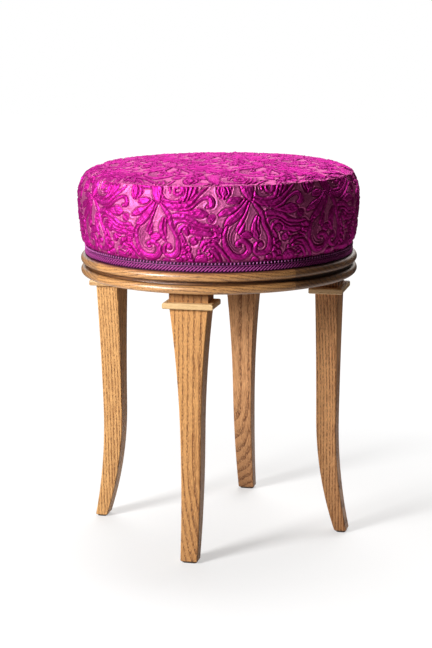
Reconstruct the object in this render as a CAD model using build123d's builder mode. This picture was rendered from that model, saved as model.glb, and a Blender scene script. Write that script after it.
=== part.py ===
from build123d import *
from math import cos, hypot, radians, sin, sqrt
import os

# A round dressing stool: four sabre legs carry a moulded oak ring, and a stuffed seat is built on the ring.
# The stool stands on Z = 0 with its axis on Z. One leg points along each of +X, +Y, -X and -Y.
# Millimetres throughout.

# Ring, moulded with two beads and a groove, with a raised rim that the cover is fixed to
RING_RADIUS = 175.0
RING_WIDTH = 57.0
RING_UNDERSIDE = 335.0
BEAD_HEIGHT = 11.25
GROOVE_HEIGHT = 3.5
GROOVE_DEPTH = 8.0
RIM_SETBACK = 10.0
RIM_HEIGHT = 11.0
RIM_CHAMFER = 1.5
BORE_CHAMFER = 2.0

# Dowels across the four ring joints
DOWEL_RADIUS = 4.0
DOWEL_LENGTH = 40.0
DOWEL_SPACING = 20.0
DOWEL_INSET = 16.0
DOWEL_CHAMFER = 1.0
DOWEL_END_ROOM = 1.0

# Legs
LEG_COUNT = 4
LEG_SETBACK = 18.2
LEG_WIDTH = 48.2
LEG_DEPTH = 28.3
KNEE_HEIGHT = 150.0
KNEE_WIDTH = 25.8
KNEE_DEPTH = 25.5
FOOT_WIDTH = 21.8
FOOT_DEPTH = 15.8
FOOT_KICK = 24.0
LEG_ARRIS = 1.6
FOOT_CHAMFER = 1.2
FELT_THICKNESS = 2.0
FELT_INSET = 1.8
FELT_CORNER = 2.0

# Wedged tenons
TENON_WIDTH = 30.0
TENON_DEPTH = 16.0
WEDGE_TOP = 3.0
WEDGE_TIP = 1.0
WEDGE_LENGTH = 25.0

# Mitred collars
COLLAR_DROP = 12.8
COLLAR_HEIGHT = 7.6
COLLAR_PROJECTION = 7.0
COLLAR_ROUND = 2.0

# Webbing and hessian
WEBBING_WIDTH = 50.0
WEBBING_GAP = 10.0
WEBBING_THICKNESS = 2.0
WEBBING_ROWS = (-1, 0, 1)
WEBBING_TAIL = 7.0
HESSIAN_INSET = 8.0
HESSIAN_THICKNESS = 1.0

# Seat pad
SEAT_HEIGHT = 477.0
PAD_OVERHANG = 2.4
PAD_CROWN = 5.0
SHOULDER_RADIUS = 30.0
SEAM_ANGLE = 45.0
SIDE_DRAW_IN = 8.4
PAD_LIFT = 1.5
COVER_THICKNESS = 1.5
WADDING_THICKNESS = 4.3
GIMP_THICKNESS = 2.0
GIMP_ROUND = 0.7

# Staples
STAPLE_SPAN = 10.0
STAPLE_WIRE = 1.2
STAPLE_CROWN = 0.8
STAPLE_LEG = 8.0
COVER_STAPLES = 24
WEBBING_STAPLE_INSET = 8.0
WEBBING_STAPLE_SPACING = 24.0

# Clearances
WOOD_FIT = 0.1
SOFT_GAP = 0.2

# Places worked out from the sizes above
QUARTER = 360.0 / LEG_COUNT
LEG_TURNS = {"right": 0.0, "back": QUARTER, "left": 2 * QUARTER, "front": 3 * QUARTER}
BORE_RADIUS = RING_RADIUS - RING_WIDTH
BEAD_CENTRE = RING_RADIUS - BEAD_HEIGHT / 2
GROOVE_RADIUS = RING_RADIUS - GROOVE_DEPTH
RIM_RADIUS = RING_RADIUS - RIM_SETBACK
GROOVE_BOTTOM = RING_UNDERSIDE + BEAD_HEIGHT
GROOVE_TOP = GROOVE_BOTTOM + GROOVE_HEIGHT
LEDGE = GROOVE_TOP + BEAD_HEIGHT
RING_TOP = LEDGE + RIM_HEIGHT
RING_THICKNESS = RING_TOP - RING_UNDERSIDE
DOWEL_LEVEL = RING_UNDERSIDE + RING_THICKNESS / 2
DOWEL_RADII = (BORE_RADIUS + DOWEL_INSET, BORE_RADIUS + DOWEL_INSET + DOWEL_SPACING)

LEG_OUTER = RING_RADIUS - LEG_SETBACK
LEG_INNER = LEG_OUTER - LEG_DEPTH
LEG_MIDDLE = LEG_OUTER - LEG_DEPTH / 2
KNEE_OUTER = LEG_INNER + KNEE_DEPTH
FOOT_INNER = LEG_INNER + FOOT_KICK
FOOT_OUTER = FOOT_INNER + FOOT_DEPTH
FOOT_MIDDLE = FOOT_INNER + FOOT_DEPTH / 2
COLLAR_TOP = RING_UNDERSIDE - COLLAR_DROP
COLLAR_BOTTOM = COLLAR_TOP - COLLAR_HEIGHT

WEBBING_PITCH = WEBBING_WIDTH + WEBBING_GAP
WEBBING_STAPLE_REACH = BORE_RADIUS + WEBBING_STAPLE_INSET
WEBBING_REACH = WEBBING_STAPLE_REACH + WEBBING_TAIL
WEBBING_TOP = RING_TOP + WEBBING_THICKNESS
CROSSING_TOP = WEBBING_TOP + WEBBING_THICKNESS
HESSIAN_TOP = CROSSING_TOP + HESSIAN_THICKNESS

PAD_RADIUS = RING_RADIUS + PAD_OVERHANG
PAD_BASE = RING_TOP + PAD_LIFT
SHOULDER_X = PAD_RADIUS - SHOULDER_RADIUS
SHOULDER_Z = SEAT_HEIGHT - PAD_CROWN - SHOULDER_RADIUS
CROWN_DEPTH = PAD_CROWN + SHOULDER_RADIUS
CROWN_RADIUS = (SHOULDER_X**2 + CROWN_DEPTH**2 - SHOULDER_RADIUS**2) / (2 * PAD_CROWN)
SIDE_DROP = SHOULDER_Z - PAD_BASE
SIDE_RADIUS = (SIDE_DROP**2 + SIDE_DRAW_IN**2) / (2 * SIDE_DRAW_IN)
COVER_BOTTOM = LEDGE + SOFT_GAP
COVER_FOOT_INNER = RIM_RADIUS + SOFT_GAP
COVER_FOOT_OUTER = COVER_FOOT_INNER + COVER_THICKNESS
WADDING_BOTTOM = PAD_BASE + SOFT_GAP
WADDING_OUTER = COVER_THICKNESS + SOFT_GAP
WADDING_INNER = WADDING_OUTER + WADDING_THICKNESS
STUFFING_OUTER = WADDING_INNER + SOFT_GAP

STAPLE_STEP = 360.0 / COVER_STAPLES
SEGMENT_STAPLES = COVER_STAPLES // LEG_COUNT
STAPLE_HOLE = STAPLE_WIRE + WOOD_FIT
COVER_STAPLE_FACE = COVER_FOOT_OUTER + WOOD_FIT
COVER_STAPLE_LEVEL = LEDGE + RIM_HEIGHT / 2
GIMP_HEIGHT = RIM_HEIGHT - SOFT_GAP
GIMP_INNER = COVER_STAPLE_FACE + STAPLE_CROWN + WOOD_FIT

os.makedirs("parts", exist_ok=True)


def write(piece, name):
    """Label one finished piece and write it as the node of that name."""
    piece.label = name
    export_step(piece, f"parts/{name}.step")


def write_round(piece, name):
    """Write one copy of a piece for each leg, turned about the stool's axis."""
    for side, turn in LEG_TURNS.items():
        write(piece.rotate(Axis.Z, turn), f"{name}_{side}")


def turned(turn):
    """The place that is turned about the stool's axis, for a pattern that follows the legs."""
    return Location((0, 0, 0), (0, 0, turn))


# Ring segment: each quarter of the ring carries one leg, and the joints lie midway between the legs
half_quarter = radians(QUARTER / 2)
joint_plane = Plane(
    origin=(0, 0, 0),
    x_dir=(cos(half_quarter), -sin(half_quarter), 0),
    z_dir=(-sin(half_quarter), -cos(half_quarter), 0),
)
webbing_ends = [(WEBBING_STAPLE_REACH, row * WEBBING_PITCH, WEBBING_TOP) for row in WEBBING_ROWS]

with BuildPart() as ring_segment:
    with BuildSketch(joint_plane):
        with BuildLine():
            Polyline(
                (BORE_RADIUS, RING_TOP - BORE_CHAMFER),
                (BORE_RADIUS, RING_UNDERSIDE + BORE_CHAMFER),
                (BORE_RADIUS + BORE_CHAMFER, RING_UNDERSIDE),
                (BEAD_CENTRE, RING_UNDERSIDE),
            )
            ThreePointArc(
                (BEAD_CENTRE, RING_UNDERSIDE),
                (RING_RADIUS, RING_UNDERSIDE + BEAD_HEIGHT / 2),
                (BEAD_CENTRE, GROOVE_BOTTOM),
            )
            Polyline(
                (BEAD_CENTRE, GROOVE_BOTTOM),
                (GROOVE_RADIUS, GROOVE_BOTTOM),
                (GROOVE_RADIUS, GROOVE_TOP),
                (BEAD_CENTRE, GROOVE_TOP),
            )
            ThreePointArc(
                (BEAD_CENTRE, GROOVE_TOP),
                (RING_RADIUS, GROOVE_TOP + BEAD_HEIGHT / 2),
                (BEAD_CENTRE, LEDGE),
            )
            Polyline(
                (BEAD_CENTRE, LEDGE),
                (RIM_RADIUS, LEDGE),
                (RIM_RADIUS, RING_TOP - RIM_CHAMFER),
                (RIM_RADIUS - RIM_CHAMFER, RING_TOP),
                (BORE_RADIUS + BORE_CHAMFER, RING_TOP),
                (BORE_RADIUS, RING_TOP - BORE_CHAMFER),
            )
        make_face()
    revolve(axis=Axis.Z, revolution_arc=QUARTER)
    # Mortise for the leg's tenon
    with BuildSketch(Plane.XY.offset(RING_UNDERSIDE)):
        with Locations((LEG_MIDDLE, 0)):
            Rectangle(TENON_DEPTH + 2 * WOOD_FIT, TENON_WIDTH + 2 * WOOD_FIT)
    extrude(amount=RING_THICKNESS, mode=Mode.SUBTRACT)
    # Dowel holes in both ends
    for end in (-QUARTER / 2, QUARTER / 2):
        with Locations(turned(end)):
            with Locations(*[(radius, 0, DOWEL_LEVEL) for radius in DOWEL_RADII]):
                Cylinder(
                    DOWEL_RADIUS + WOOD_FIT,
                    DOWEL_LENGTH + 2 * DOWEL_END_ROOM,
                    rotation=(90, 0, 0),
                    mode=Mode.SUBTRACT,
                )
    # Holes of the cover staples in the rim
    for staple in range(SEGMENT_STAPLES):
        with Locations(turned((staple + 0.5) * STAPLE_STEP - QUARTER / 2)):
            with Locations((COVER_STAPLE_FACE, 0, COVER_STAPLE_LEVEL)):
                with GridLocations(0, STAPLE_SPAN, 1, 2):
                    Box(2 * STAPLE_LEG + WOOD_FIT, STAPLE_HOLE, STAPLE_HOLE, mode=Mode.SUBTRACT)
    # Holes of the webbing staples in the top
    with Locations(*webbing_ends):
        with GridLocations(0, WEBBING_STAPLE_SPACING, 1, 2):
            with GridLocations(0, STAPLE_SPAN, 1, 2):
                Box(STAPLE_HOLE, STAPLE_HOLE, 2 * STAPLE_LEG + WOOD_FIT, mode=Mode.SUBTRACT)
write_round(ring_segment.part, "ring_segment")

# Dowels of the ring joints
with BuildPart() as ring_dowels:
    with PolarLocations(0, LEG_COUNT, start_angle=QUARTER / 2):
        with Locations(*[(radius, 0, DOWEL_LEVEL) for radius in DOWEL_RADII]):
            Cylinder(DOWEL_RADIUS, DOWEL_LENGTH, rotation=(90, 0, 0))
    chamfer(ring_dowels.edges().filter_by(GeomType.CIRCLE), DOWEL_CHAMFER)
write(ring_dowels.part, "ring_dowels")


def wedge_outline(turn):
    """The wedge of one tenon, as a sketch face across the tenon's width."""
    angle = radians(turn)
    across_tenon = Plane(
        origin=(LEG_MIDDLE * cos(angle), LEG_MIDDLE * sin(angle), RING_TOP),
        x_dir=(-sin(angle), cos(angle), 0),
        z_dir=(cos(angle), sin(angle), 0),
    )
    with BuildSketch(across_tenon) as outline:
        with BuildLine():
            Polyline(
                (-WEDGE_TOP / 2, 0),
                (-WEDGE_TIP / 2, -WEDGE_LENGTH),
                (WEDGE_TIP / 2, -WEDGE_LENGTH),
                (WEDGE_TOP / 2, 0),
                close=True,
            )
        make_face()
    return outline.sketch


# Leg: a sabre curve seen from the side, and a waisted taper seen from the front
with BuildPart() as leg:
    with BuildSketch(Plane.XZ):
        with BuildLine():
            Line((LEG_INNER, COLLAR_BOTTOM), (LEG_INNER, KNEE_HEIGHT))
            TangentArc((LEG_INNER, KNEE_HEIGHT), (FOOT_INNER, FELT_THICKNESS), tangent=(0, -1))
            Line((FOOT_INNER, FELT_THICKNESS), (FOOT_OUTER, FELT_THICKNESS))
            TangentArc(
                (KNEE_OUTER, KNEE_HEIGHT),
                (FOOT_OUTER, FELT_THICKNESS),
                tangent=(KNEE_OUTER - LEG_OUTER, KNEE_HEIGHT - COLLAR_BOTTOM),
            )
            Polyline((KNEE_OUTER, KNEE_HEIGHT), (LEG_OUTER, COLLAR_BOTTOM), (LEG_INNER, COLLAR_BOTTOM))
        make_face()
    extrude(amount=LEG_WIDTH / 2, both=True)
    with BuildSketch(Plane.YZ):
        with BuildLine():
            Line((FOOT_WIDTH / 2, FELT_THICKNESS), (KNEE_WIDTH / 2, KNEE_HEIGHT))
            TangentArc(
                (KNEE_WIDTH / 2, KNEE_HEIGHT),
                (LEG_WIDTH / 2, COLLAR_BOTTOM),
                tangent=(KNEE_WIDTH / 2 - FOOT_WIDTH / 2, KNEE_HEIGHT - FELT_THICKNESS),
            )
            Polyline(
                (LEG_WIDTH / 2, COLLAR_BOTTOM),
                (0, COLLAR_BOTTOM),
                (0, FELT_THICKNESS),
                (FOOT_WIDTH / 2, FELT_THICKNESS),
            )
        make_face()
        mirror(about=Plane.YZ)
    extrude(amount=LEG_OUTER + FOOT_OUTER, mode=Mode.INTERSECT)
    fillet(leg.edges().filter_by(lambda edge: edge.bounding_box().size.Z > LEG_ARRIS), LEG_ARRIS)
    chamfer(leg.faces().sort_by(Axis.Z)[0].edges(), FOOT_CHAMFER)
    # Square neck and tenon
    with BuildSketch(Plane.XY.offset(COLLAR_BOTTOM)):
        with Locations((LEG_MIDDLE, 0)):
            Rectangle(LEG_DEPTH, LEG_WIDTH)
    extrude(amount=RING_UNDERSIDE - COLLAR_BOTTOM)
    with BuildSketch(Plane.XY.offset(RING_UNDERSIDE)):
        with Locations((LEG_MIDDLE, 0)):
            Rectangle(TENON_DEPTH, TENON_WIDTH)
    extrude(amount=RING_THICKNESS)
    extrude(to_extrude=wedge_outline(LEG_TURNS["right"]), amount=TENON_DEPTH, both=True, mode=Mode.SUBTRACT)
write_round(leg.part, "leg")

# Wedges that spread the tenons along the grain of the ring
with BuildPart() as tenon_wedges:
    for turn in LEG_TURNS.values():
        extrude(to_extrude=wedge_outline(turn), amount=TENON_DEPTH / 2, both=True)
write(tenon_wedges.part, "tenon_wedges")

# Felt pad under each foot
with BuildPart() as felt_pad:
    with BuildSketch(Plane.XY):
        with Locations((FOOT_MIDDLE, 0)):
            RectangleRounded(FOOT_DEPTH - 2 * FELT_INSET, FOOT_WIDTH - 2 * FELT_INSET, FELT_CORNER)
    extrude(amount=FELT_THICKNESS)
write_round(felt_pad.part, "felt_pad")


def collar_strip(reach, half_length):
    """One strip of a collar, mitred at both ends, that faces +X at a reach from the leg's own axis."""
    nose = reach + COLLAR_PROJECTION
    half_nose = half_length + COLLAR_PROJECTION
    with BuildPart() as strip:
        with BuildSketch(Plane.XY.offset(COLLAR_BOTTOM)):
            with BuildLine():
                Polyline(
                    (reach, -half_length),
                    (nose, -half_nose),
                    (nose, half_nose),
                    (reach, half_length),
                    close=True,
                )
            make_face()
        extrude(amount=COLLAR_HEIGHT)
        fillet(strip.faces().sort_by(Axis.X)[-1].edges().filter_by(Axis.Y), COLLAR_ROUND)
    return strip.part


# Collar round each leg: four strips, mitred at the corners
for strip_turn, strip_side in enumerate(("outer", "left", "inner", "right")):
    if strip_side in ("outer", "inner"):
        strip = collar_strip(LEG_DEPTH / 2, LEG_WIDTH / 2)
    else:
        strip = collar_strip(LEG_WIDTH / 2, LEG_DEPTH / 2)
    on_leg = strip.rotate(Axis.Z, strip_turn * 90).moved(Location((LEG_MIDDLE, 0, 0)))
    write_round(on_leg, f"collar_{strip_side}")


def webbing_strap(row, over):
    """One strap along X. It passes over the crossing straps whose place plus its own row is even, or odd."""
    offset = row * WEBBING_PITCH
    half_width = WEBBING_WIDTH / 2
    underside = [(-WEBBING_REACH, RING_TOP)]
    for crossing in WEBBING_ROWS:
        if (crossing + row) % 2 == over:
            middle = crossing * WEBBING_PITCH
            near = half_width + SOFT_GAP
            far = half_width + WEBBING_GAP - SOFT_GAP
            underside.append((middle - far, RING_TOP))
            underside.append((middle - near, WEBBING_TOP))
            underside.append((middle + near, WEBBING_TOP))
            underside.append((middle + far, RING_TOP))
    underside.append((WEBBING_REACH, RING_TOP))
    upper = [(along, level + WEBBING_THICKNESS) for along, level in reversed(underside)]
    with BuildPart() as strap:
        with BuildSketch(Plane.XZ.offset(-offset)):
            with BuildLine():
                Polyline(*underside, *upper, close=True)
            make_face()
        extrude(amount=half_width, both=True)
        # Holes of the staples at both ends
        with Locations((0, offset, WEBBING_TOP)):
            with GridLocations(2 * WEBBING_STAPLE_REACH, WEBBING_STAPLE_SPACING, 2, 2):
                with GridLocations(0, STAPLE_SPAN, 1, 2):
                    Box(STAPLE_HOLE, STAPLE_HOLE, 2 * STAPLE_LEG, mode=Mode.SUBTRACT)
    return strap.part


# Webbing: three straps each way, interlaced
for number, row in enumerate(WEBBING_ROWS, start=1):
    write(webbing_strap(row, over=0), f"webbing_across_{number}")
    write(webbing_strap(row, over=1).rotate(Axis.Z, 90), f"webbing_along_{number}")

with BuildPart() as webbing_staples:
    for turn in LEG_TURNS.values():
        with Locations(turned(turn)):
            with Locations(*webbing_ends):
                with GridLocations(0, WEBBING_STAPLE_SPACING, 1, 2):
                    Box(
                        STAPLE_WIRE,
                        STAPLE_SPAN + STAPLE_WIRE,
                        STAPLE_CROWN,
                        align=(Align.CENTER, Align.CENTER, Align.MIN),
                    )
                    with GridLocations(0, STAPLE_SPAN, 1, 2):
                        Box(
                            STAPLE_WIRE,
                            STAPLE_WIRE,
                            STAPLE_LEG,
                            align=(Align.CENTER, Align.CENTER, Align.MAX),
                        )
write(webbing_staples.part, "webbing_staples")

# Hessian laid over the webbing
with BuildPart() as hessian:
    with BuildSketch(Plane.XY.offset(CROSSING_TOP)):
        Circle(RIM_RADIUS - HESSIAN_INSET)
    extrude(amount=HESSIAN_THICKNESS)
write(hessian.part, "hessian")


def side_radius(inset, level):
    """The radius of the pad's drawn-in side at a level, for a layer that lies an inset inside the cover."""
    return PAD_RADIUS - SIDE_RADIUS + sqrt((SIDE_RADIUS - inset) ** 2 - (SHOULDER_Z - level) ** 2)


def crown_meeting(inset):
    """The point where the crown runs into the shoulder, for a layer that lies an inset inside the cover."""
    rise = SHOULDER_Z - (SEAT_HEIGHT - CROWN_RADIUS)
    reach = (SHOULDER_RADIUS - inset) / hypot(SHOULDER_X, rise)
    return (SHOULDER_X * (1 + reach), SHOULDER_Z + rise * reach)


def seam_point(inset):
    """The point on the shoulder where the top of the cover is sewn to the band round the side."""
    angle = radians(SEAM_ANGLE)
    radius = SHOULDER_RADIUS - inset
    return (SHOULDER_X + radius * cos(angle), SHOULDER_Z + radius * sin(angle))


def seam_run():
    """The direction of the shoulder at the seam, upwards."""
    angle = radians(SEAM_ANGLE)
    return (-sin(angle), cos(angle))


def pad_curve(inset, level):
    """Draw the crown, the shoulder and the drawn-in side down to a level, an inset inside the cover."""
    widest = (PAD_RADIUS - inset, SHOULDER_Z)
    TangentArc((0, SEAT_HEIGHT - inset), crown_meeting(inset), tangent=(1, 0))
    TangentArc(widest, crown_meeting(inset), tangent=(0, 1))
    TangentArc(widest, (side_radius(inset, level), level), tangent=(0, -1))


# Stuffing: the block of filling, with the pad's crown and drawn-in side
with BuildPart() as stuffing:
    with BuildSketch(Plane.XZ):
        with BuildLine():
            pad_curve(STUFFING_OUTER, HESSIAN_TOP)
            Polyline(
                (side_radius(STUFFING_OUTER, HESSIAN_TOP), HESSIAN_TOP),
                (0, HESSIAN_TOP),
                (0, SEAT_HEIGHT - STUFFING_OUTER),
            )
        make_face()
    revolve(axis=Axis.Z)
write(stuffing.part, "stuffing")

# Wadding between the stuffing and the cover
with BuildPart() as wadding:
    with BuildSketch(Plane.XZ):
        with BuildLine():
            pad_curve(WADDING_OUTER, WADDING_BOTTOM)
            pad_curve(WADDING_INNER, WADDING_BOTTOM)
            Line((0, SEAT_HEIGHT - WADDING_OUTER), (0, SEAT_HEIGHT - WADDING_INNER))
            Line(
                (side_radius(WADDING_OUTER, WADDING_BOTTOM), WADDING_BOTTOM),
                (side_radius(WADDING_INNER, WADDING_BOTTOM), WADDING_BOTTOM),
            )
        make_face()
    revolve(axis=Axis.Z)
write(wadding.part, "wadding")

# Top of the cover: a round panel, from the crown to the seam on the shoulder
with BuildPart() as cover_top:
    with BuildSketch(Plane.XZ):
        with BuildLine():
            for inset in (0, COVER_THICKNESS):
                TangentArc((0, SEAT_HEIGHT - inset), crown_meeting(inset), tangent=(1, 0))
                TangentArc(seam_point(inset), crown_meeting(inset), tangent=seam_run())
            Line((0, SEAT_HEIGHT), (0, SEAT_HEIGHT - COVER_THICKNESS))
            Line(seam_point(0), seam_point(COVER_THICKNESS))
        make_face()
    revolve(axis=Axis.Z)
write(cover_top.part, "cover_top")

# Band of the cover: from the seam down the drawn-in side, and in to the rim of the ring
with BuildPart() as cover_band:
    with BuildSketch(Plane.XZ):
        with BuildLine():
            for inset in (0, COVER_THICKNESS):
                widest = (PAD_RADIUS - inset, SHOULDER_Z)
                TangentArc(widest, seam_point(inset), tangent=(0, 1))
                TangentArc(widest, (side_radius(inset, PAD_BASE), PAD_BASE), tangent=(0, -1))
            Line(seam_point(0), seam_point(COVER_THICKNESS))
            Polyline(
                (side_radius(0, PAD_BASE), PAD_BASE),
                (COVER_FOOT_OUTER, RING_TOP),
                (COVER_FOOT_OUTER, COVER_BOTTOM),
                (COVER_FOOT_INNER, COVER_BOTTOM),
                (COVER_FOOT_INNER, RING_TOP),
                (side_radius(COVER_THICKNESS, PAD_BASE), PAD_BASE),
            )
        make_face()
    revolve(axis=Axis.Z)
    with PolarLocations(0, COVER_STAPLES, start_angle=STAPLE_STEP / 2):
        with Locations((COVER_STAPLE_FACE, 0, COVER_STAPLE_LEVEL)):
            with GridLocations(0, STAPLE_SPAN, 1, 2):
                Box(2 * STAPLE_LEG, STAPLE_HOLE, STAPLE_HOLE, mode=Mode.SUBTRACT)
write(cover_band.part, "cover_band")

with BuildPart() as cover_staples:
    with PolarLocations(0, COVER_STAPLES, start_angle=STAPLE_STEP / 2):
        with Locations((COVER_STAPLE_FACE, 0, COVER_STAPLE_LEVEL)):
            Box(
                STAPLE_CROWN,
                STAPLE_SPAN + STAPLE_WIRE,
                STAPLE_WIRE,
                align=(Align.MIN, Align.CENTER, Align.CENTER),
            )
            with GridLocations(0, STAPLE_SPAN, 1, 2):
                Box(
                    STAPLE_LEG,
                    STAPLE_WIRE,
                    STAPLE_WIRE,
                    align=(Align.MAX, Align.CENTER, Align.CENTER),
                )
write(cover_staples.part, "cover_staples")

# Gimp: the braid on the ledge of the ring, which hides the staples
with BuildPart() as gimp:
    with BuildSketch(Plane.XZ) as gimp_section:
        with Locations((GIMP_INNER, LEDGE)):
            Rectangle(GIMP_THICKNESS, GIMP_HEIGHT, align=(Align.MIN, Align.MIN))
        fillet(gimp_section.vertices().group_by(Axis.X)[-1], GIMP_ROUND)
    revolve(axis=Axis.Z)
write(gimp.part, "gimp")
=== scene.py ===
import math

import bpy
import numpy as np
from mathutils import Matrix, Vector


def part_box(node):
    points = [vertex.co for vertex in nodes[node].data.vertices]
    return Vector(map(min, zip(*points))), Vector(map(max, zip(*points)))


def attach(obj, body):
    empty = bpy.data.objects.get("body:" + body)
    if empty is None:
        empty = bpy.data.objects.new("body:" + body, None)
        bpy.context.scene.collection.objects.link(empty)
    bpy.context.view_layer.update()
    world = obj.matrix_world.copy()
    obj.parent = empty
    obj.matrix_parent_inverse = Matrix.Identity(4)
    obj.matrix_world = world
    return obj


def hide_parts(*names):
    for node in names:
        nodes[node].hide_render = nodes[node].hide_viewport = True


# A round dressing stool: oak legs and ring, webbed and stuffed seat, scroll brocade cover, braid edge.
# Lengths are in metres, in the frame of the model. The drawing of the brocade is in millimetres.
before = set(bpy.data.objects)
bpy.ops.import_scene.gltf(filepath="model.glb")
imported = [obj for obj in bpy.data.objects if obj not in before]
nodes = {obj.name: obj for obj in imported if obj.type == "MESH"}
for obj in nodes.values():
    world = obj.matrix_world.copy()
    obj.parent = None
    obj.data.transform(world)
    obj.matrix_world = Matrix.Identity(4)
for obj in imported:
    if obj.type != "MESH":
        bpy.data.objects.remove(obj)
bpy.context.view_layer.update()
MM = 0.001
LEG_SIDES = ("right", "back", "left", "front")

# Places read from the frame
PAD_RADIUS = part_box("cover_band")[1].x
SEAT_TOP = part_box("cover_top")[1].z
SEAM_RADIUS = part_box("cover_top")[1].x
SEAM_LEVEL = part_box("cover_band")[1].z
COVER_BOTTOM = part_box("cover_band")[0].z
RING_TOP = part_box("leg_right")[1].z
RING_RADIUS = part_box("ring_segment_right")[1].x
RING_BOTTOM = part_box("ring_segment_right")[0].z
COLLAR_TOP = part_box("collar_outer_front")[1].z
BRAID_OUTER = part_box("gimp")[1].x
BRAID_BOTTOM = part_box("gimp")[0].z
BRAID_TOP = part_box("gimp")[1].z
HESSIAN_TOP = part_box("hessian")[1].z
STRAP_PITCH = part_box("webbing_across_3")[1].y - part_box("webbing_across_2")[1].y
CROSSING_STEP = (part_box("hessian")[0].z - RING_TOP) / 2

# Seat pad, as the cover follows it
CROWN_TOP = SEAT_TOP + 0.2 * MM
CROWN_REACH = 140 * MM
CROWN_DROP = 6.2 * MM
WIDEST = (PAD_RADIUS + 0.4 * MM, SEAM_LEVEL - 26 * MM)
SIDE_DRAW_IN = 6 * MM
PAD_BASE = RING_TOP + 1.5 * MM
COVER_THICKNESS = 1.5 * MM
LINING_DEPTH = 2.6 * COVER_THICKNESS
COVER_FOOT_RADIUS = BRAID_OUTER - 3 * MM
SEAM = (SEAM_RADIUS - 0.2 * MM, SEAM_LEVEL - 1.6 * MM)
SEAM_SLOPE_TOP = math.radians(31)
SEAM_SLOPE_BAND = math.radians(59)
SEAM_TUCK = 0.8 * MM
SOFT_TUCK_SHARE = 0.1
SEAM_DRIFT = 3.6 * MM
SEAM_RISE = 2.4 * MM
SOFT_EDGE = 0.95 * MM
SOFT_REACH = 8 * MM
CRISP_AZIMUTH = math.radians(34)

# Camera, as it stood for the photograph
CAMERA_PLACE = (0.51595, -2.14003, 0.71527)
CAMERA_TURN = math.radians(13.669)
CAMERA_PITCH = math.radians(11.558)
CAMERA_ROLL = math.radians(-0.397)
CAMERA_LENS = 97.34
VIEW_AZIMUTH = math.radians(13.555)


# Helpers for meshes

def new_piece(name, node, points, faces, materials, finishes=None):
    """Make one mesh piece of the stool, smooth shaded, that rides on the body in place of a node."""
    mesh = bpy.data.meshes.new(name)
    mesh.from_pydata(np.asarray(points).tolist(), [], [list(face) for face in faces])
    mesh.polygons.foreach_set("use_smooth", [True] * len(mesh.polygons))
    for material in materials:
        mesh.materials.append(material)
    if finishes is not None:
        mesh.polygons.foreach_set("material_index", finishes)
    mesh.update()
    piece = bpy.data.objects.new(name, mesh)
    bpy.context.scene.collection.objects.link(piece)
    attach(piece, "root")
    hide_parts(node)
    return piece


def store(piece, name, values):
    """Keep one number for each point of a piece, for its material to read."""
    attribute = piece.data.attributes.new(name, "FLOAT", "POINT")
    attribute.data.foreach_set("value", np.asarray(values, np.float32).ravel())


def grid_faces(rows, columns, close_rows=False, close_columns=True):
    """Quads of a grid of points that are stored row by row."""
    row_count = rows if close_rows else rows - 1
    column_count = columns if close_columns else columns - 1
    row, column = np.meshgrid(np.arange(row_count), np.arange(column_count), indexing="ij")
    next_row = (row + 1) % rows
    next_column = (column + 1) % columns
    corners = [
        row * columns + column,
        row * columns + next_column,
        next_row * columns + next_column,
        next_row * columns + column,
    ]
    return np.stack([corner.ravel() for corner in corners], 1)


def tube_faces(rows, sides, flipped=False):
    """Faces of a tube made of rings of points, closed at both ends."""
    last = (rows - 1) * sides
    faces = grid_faces(rows, sides).tolist()
    faces += [list(range(sides - 1, -1, -1)), list(range(last, last + sides))]
    return [face[::-1] for face in faces] if flipped else faces


def full_turn(count):
    """Angles spaced evenly once round the axis, from the front."""
    return np.arange(count) * 2 * math.pi / count


def about_axis(radius, turn, level):
    """Places at each radius, turn and level about the axis."""
    radius, turn, level = np.broadcast_arrays(radius, turn, level)
    return np.stack([radius * np.sin(turn), -radius * np.cos(turn), level], -1).reshape(-1, 3)


def turned_solid(radius, level, columns):
    """Solid turned about the axis, from grids of radius and level, closed at both ends of the section."""
    return about_axis(radius, full_turn(columns), level), tube_faces(len(radius), columns)


def joined(parts):
    """Several meshes as one: points, faces, and the number of the part that each face comes from."""
    points, faces, origins = [], [], []
    first = 0
    for number, (part_points, part_faces) in enumerate(parts):
        points.append(part_points)
        faces += [[first + corner for corner in face] for face in part_faces]
        origins += [number] * len(part_faces)
        first += len(part_points)
    return np.concatenate(points), faces, origins


def bezier(start, middle, end, count):
    """Points on a curve with three control points."""
    t = np.linspace(0, 1, count)[:, None]
    return (1 - t) ** 2 * np.array(start) + 2 * t * (1 - t) * np.array(middle) + t**2 * np.array(end)


def crossing(point_a, slope_a, point_b, slope_b):
    """Where two lines of a section meet, each given by a point and its fall below level."""
    run_a = np.array([math.cos(slope_a), -math.sin(slope_a)])
    run_b = np.array([math.cos(slope_b), -math.sin(slope_b)])
    along = np.linalg.solve(np.stack([run_a, -run_b], 1), np.array(point_b) - np.array(point_a))
    return np.array(point_a) + along[0] * run_a


def evenly(curve, positions):
    """Points at given lengths along a curve, with the direction of the curve there."""
    curve = np.asarray(curve)
    length = np.concatenate([[0], np.cumsum(np.linalg.norm(np.diff(curve, axis=0), axis=1))])
    points = np.stack([np.interp(positions, length, curve[:, axis]) for axis in range(2)], 1)
    run = np.gradient(points, positions, axis=0)
    return points, run / np.linalg.norm(run, axis=1)[:, None]


def curve_length(curve):
    """Length of a curve given by its points."""
    return float(np.linalg.norm(np.diff(np.asarray(curve), axis=0), axis=1).sum())


# Helpers for materials

def add(tree, kind, sockets=None, **settings):
    """Add a node, with its settings, and its sockets set to values or linked to other nodes."""
    made = tree.nodes.new(kind)
    for key, value in settings.items():
        setattr(made, key, value)
    for key, value in (sockets or {}).items():
        if isinstance(value, bpy.types.NodeSocket):
            tree.links.new(value, made.inputs[key])
        else:
            made.inputs[key].default_value = value
    return made


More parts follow.
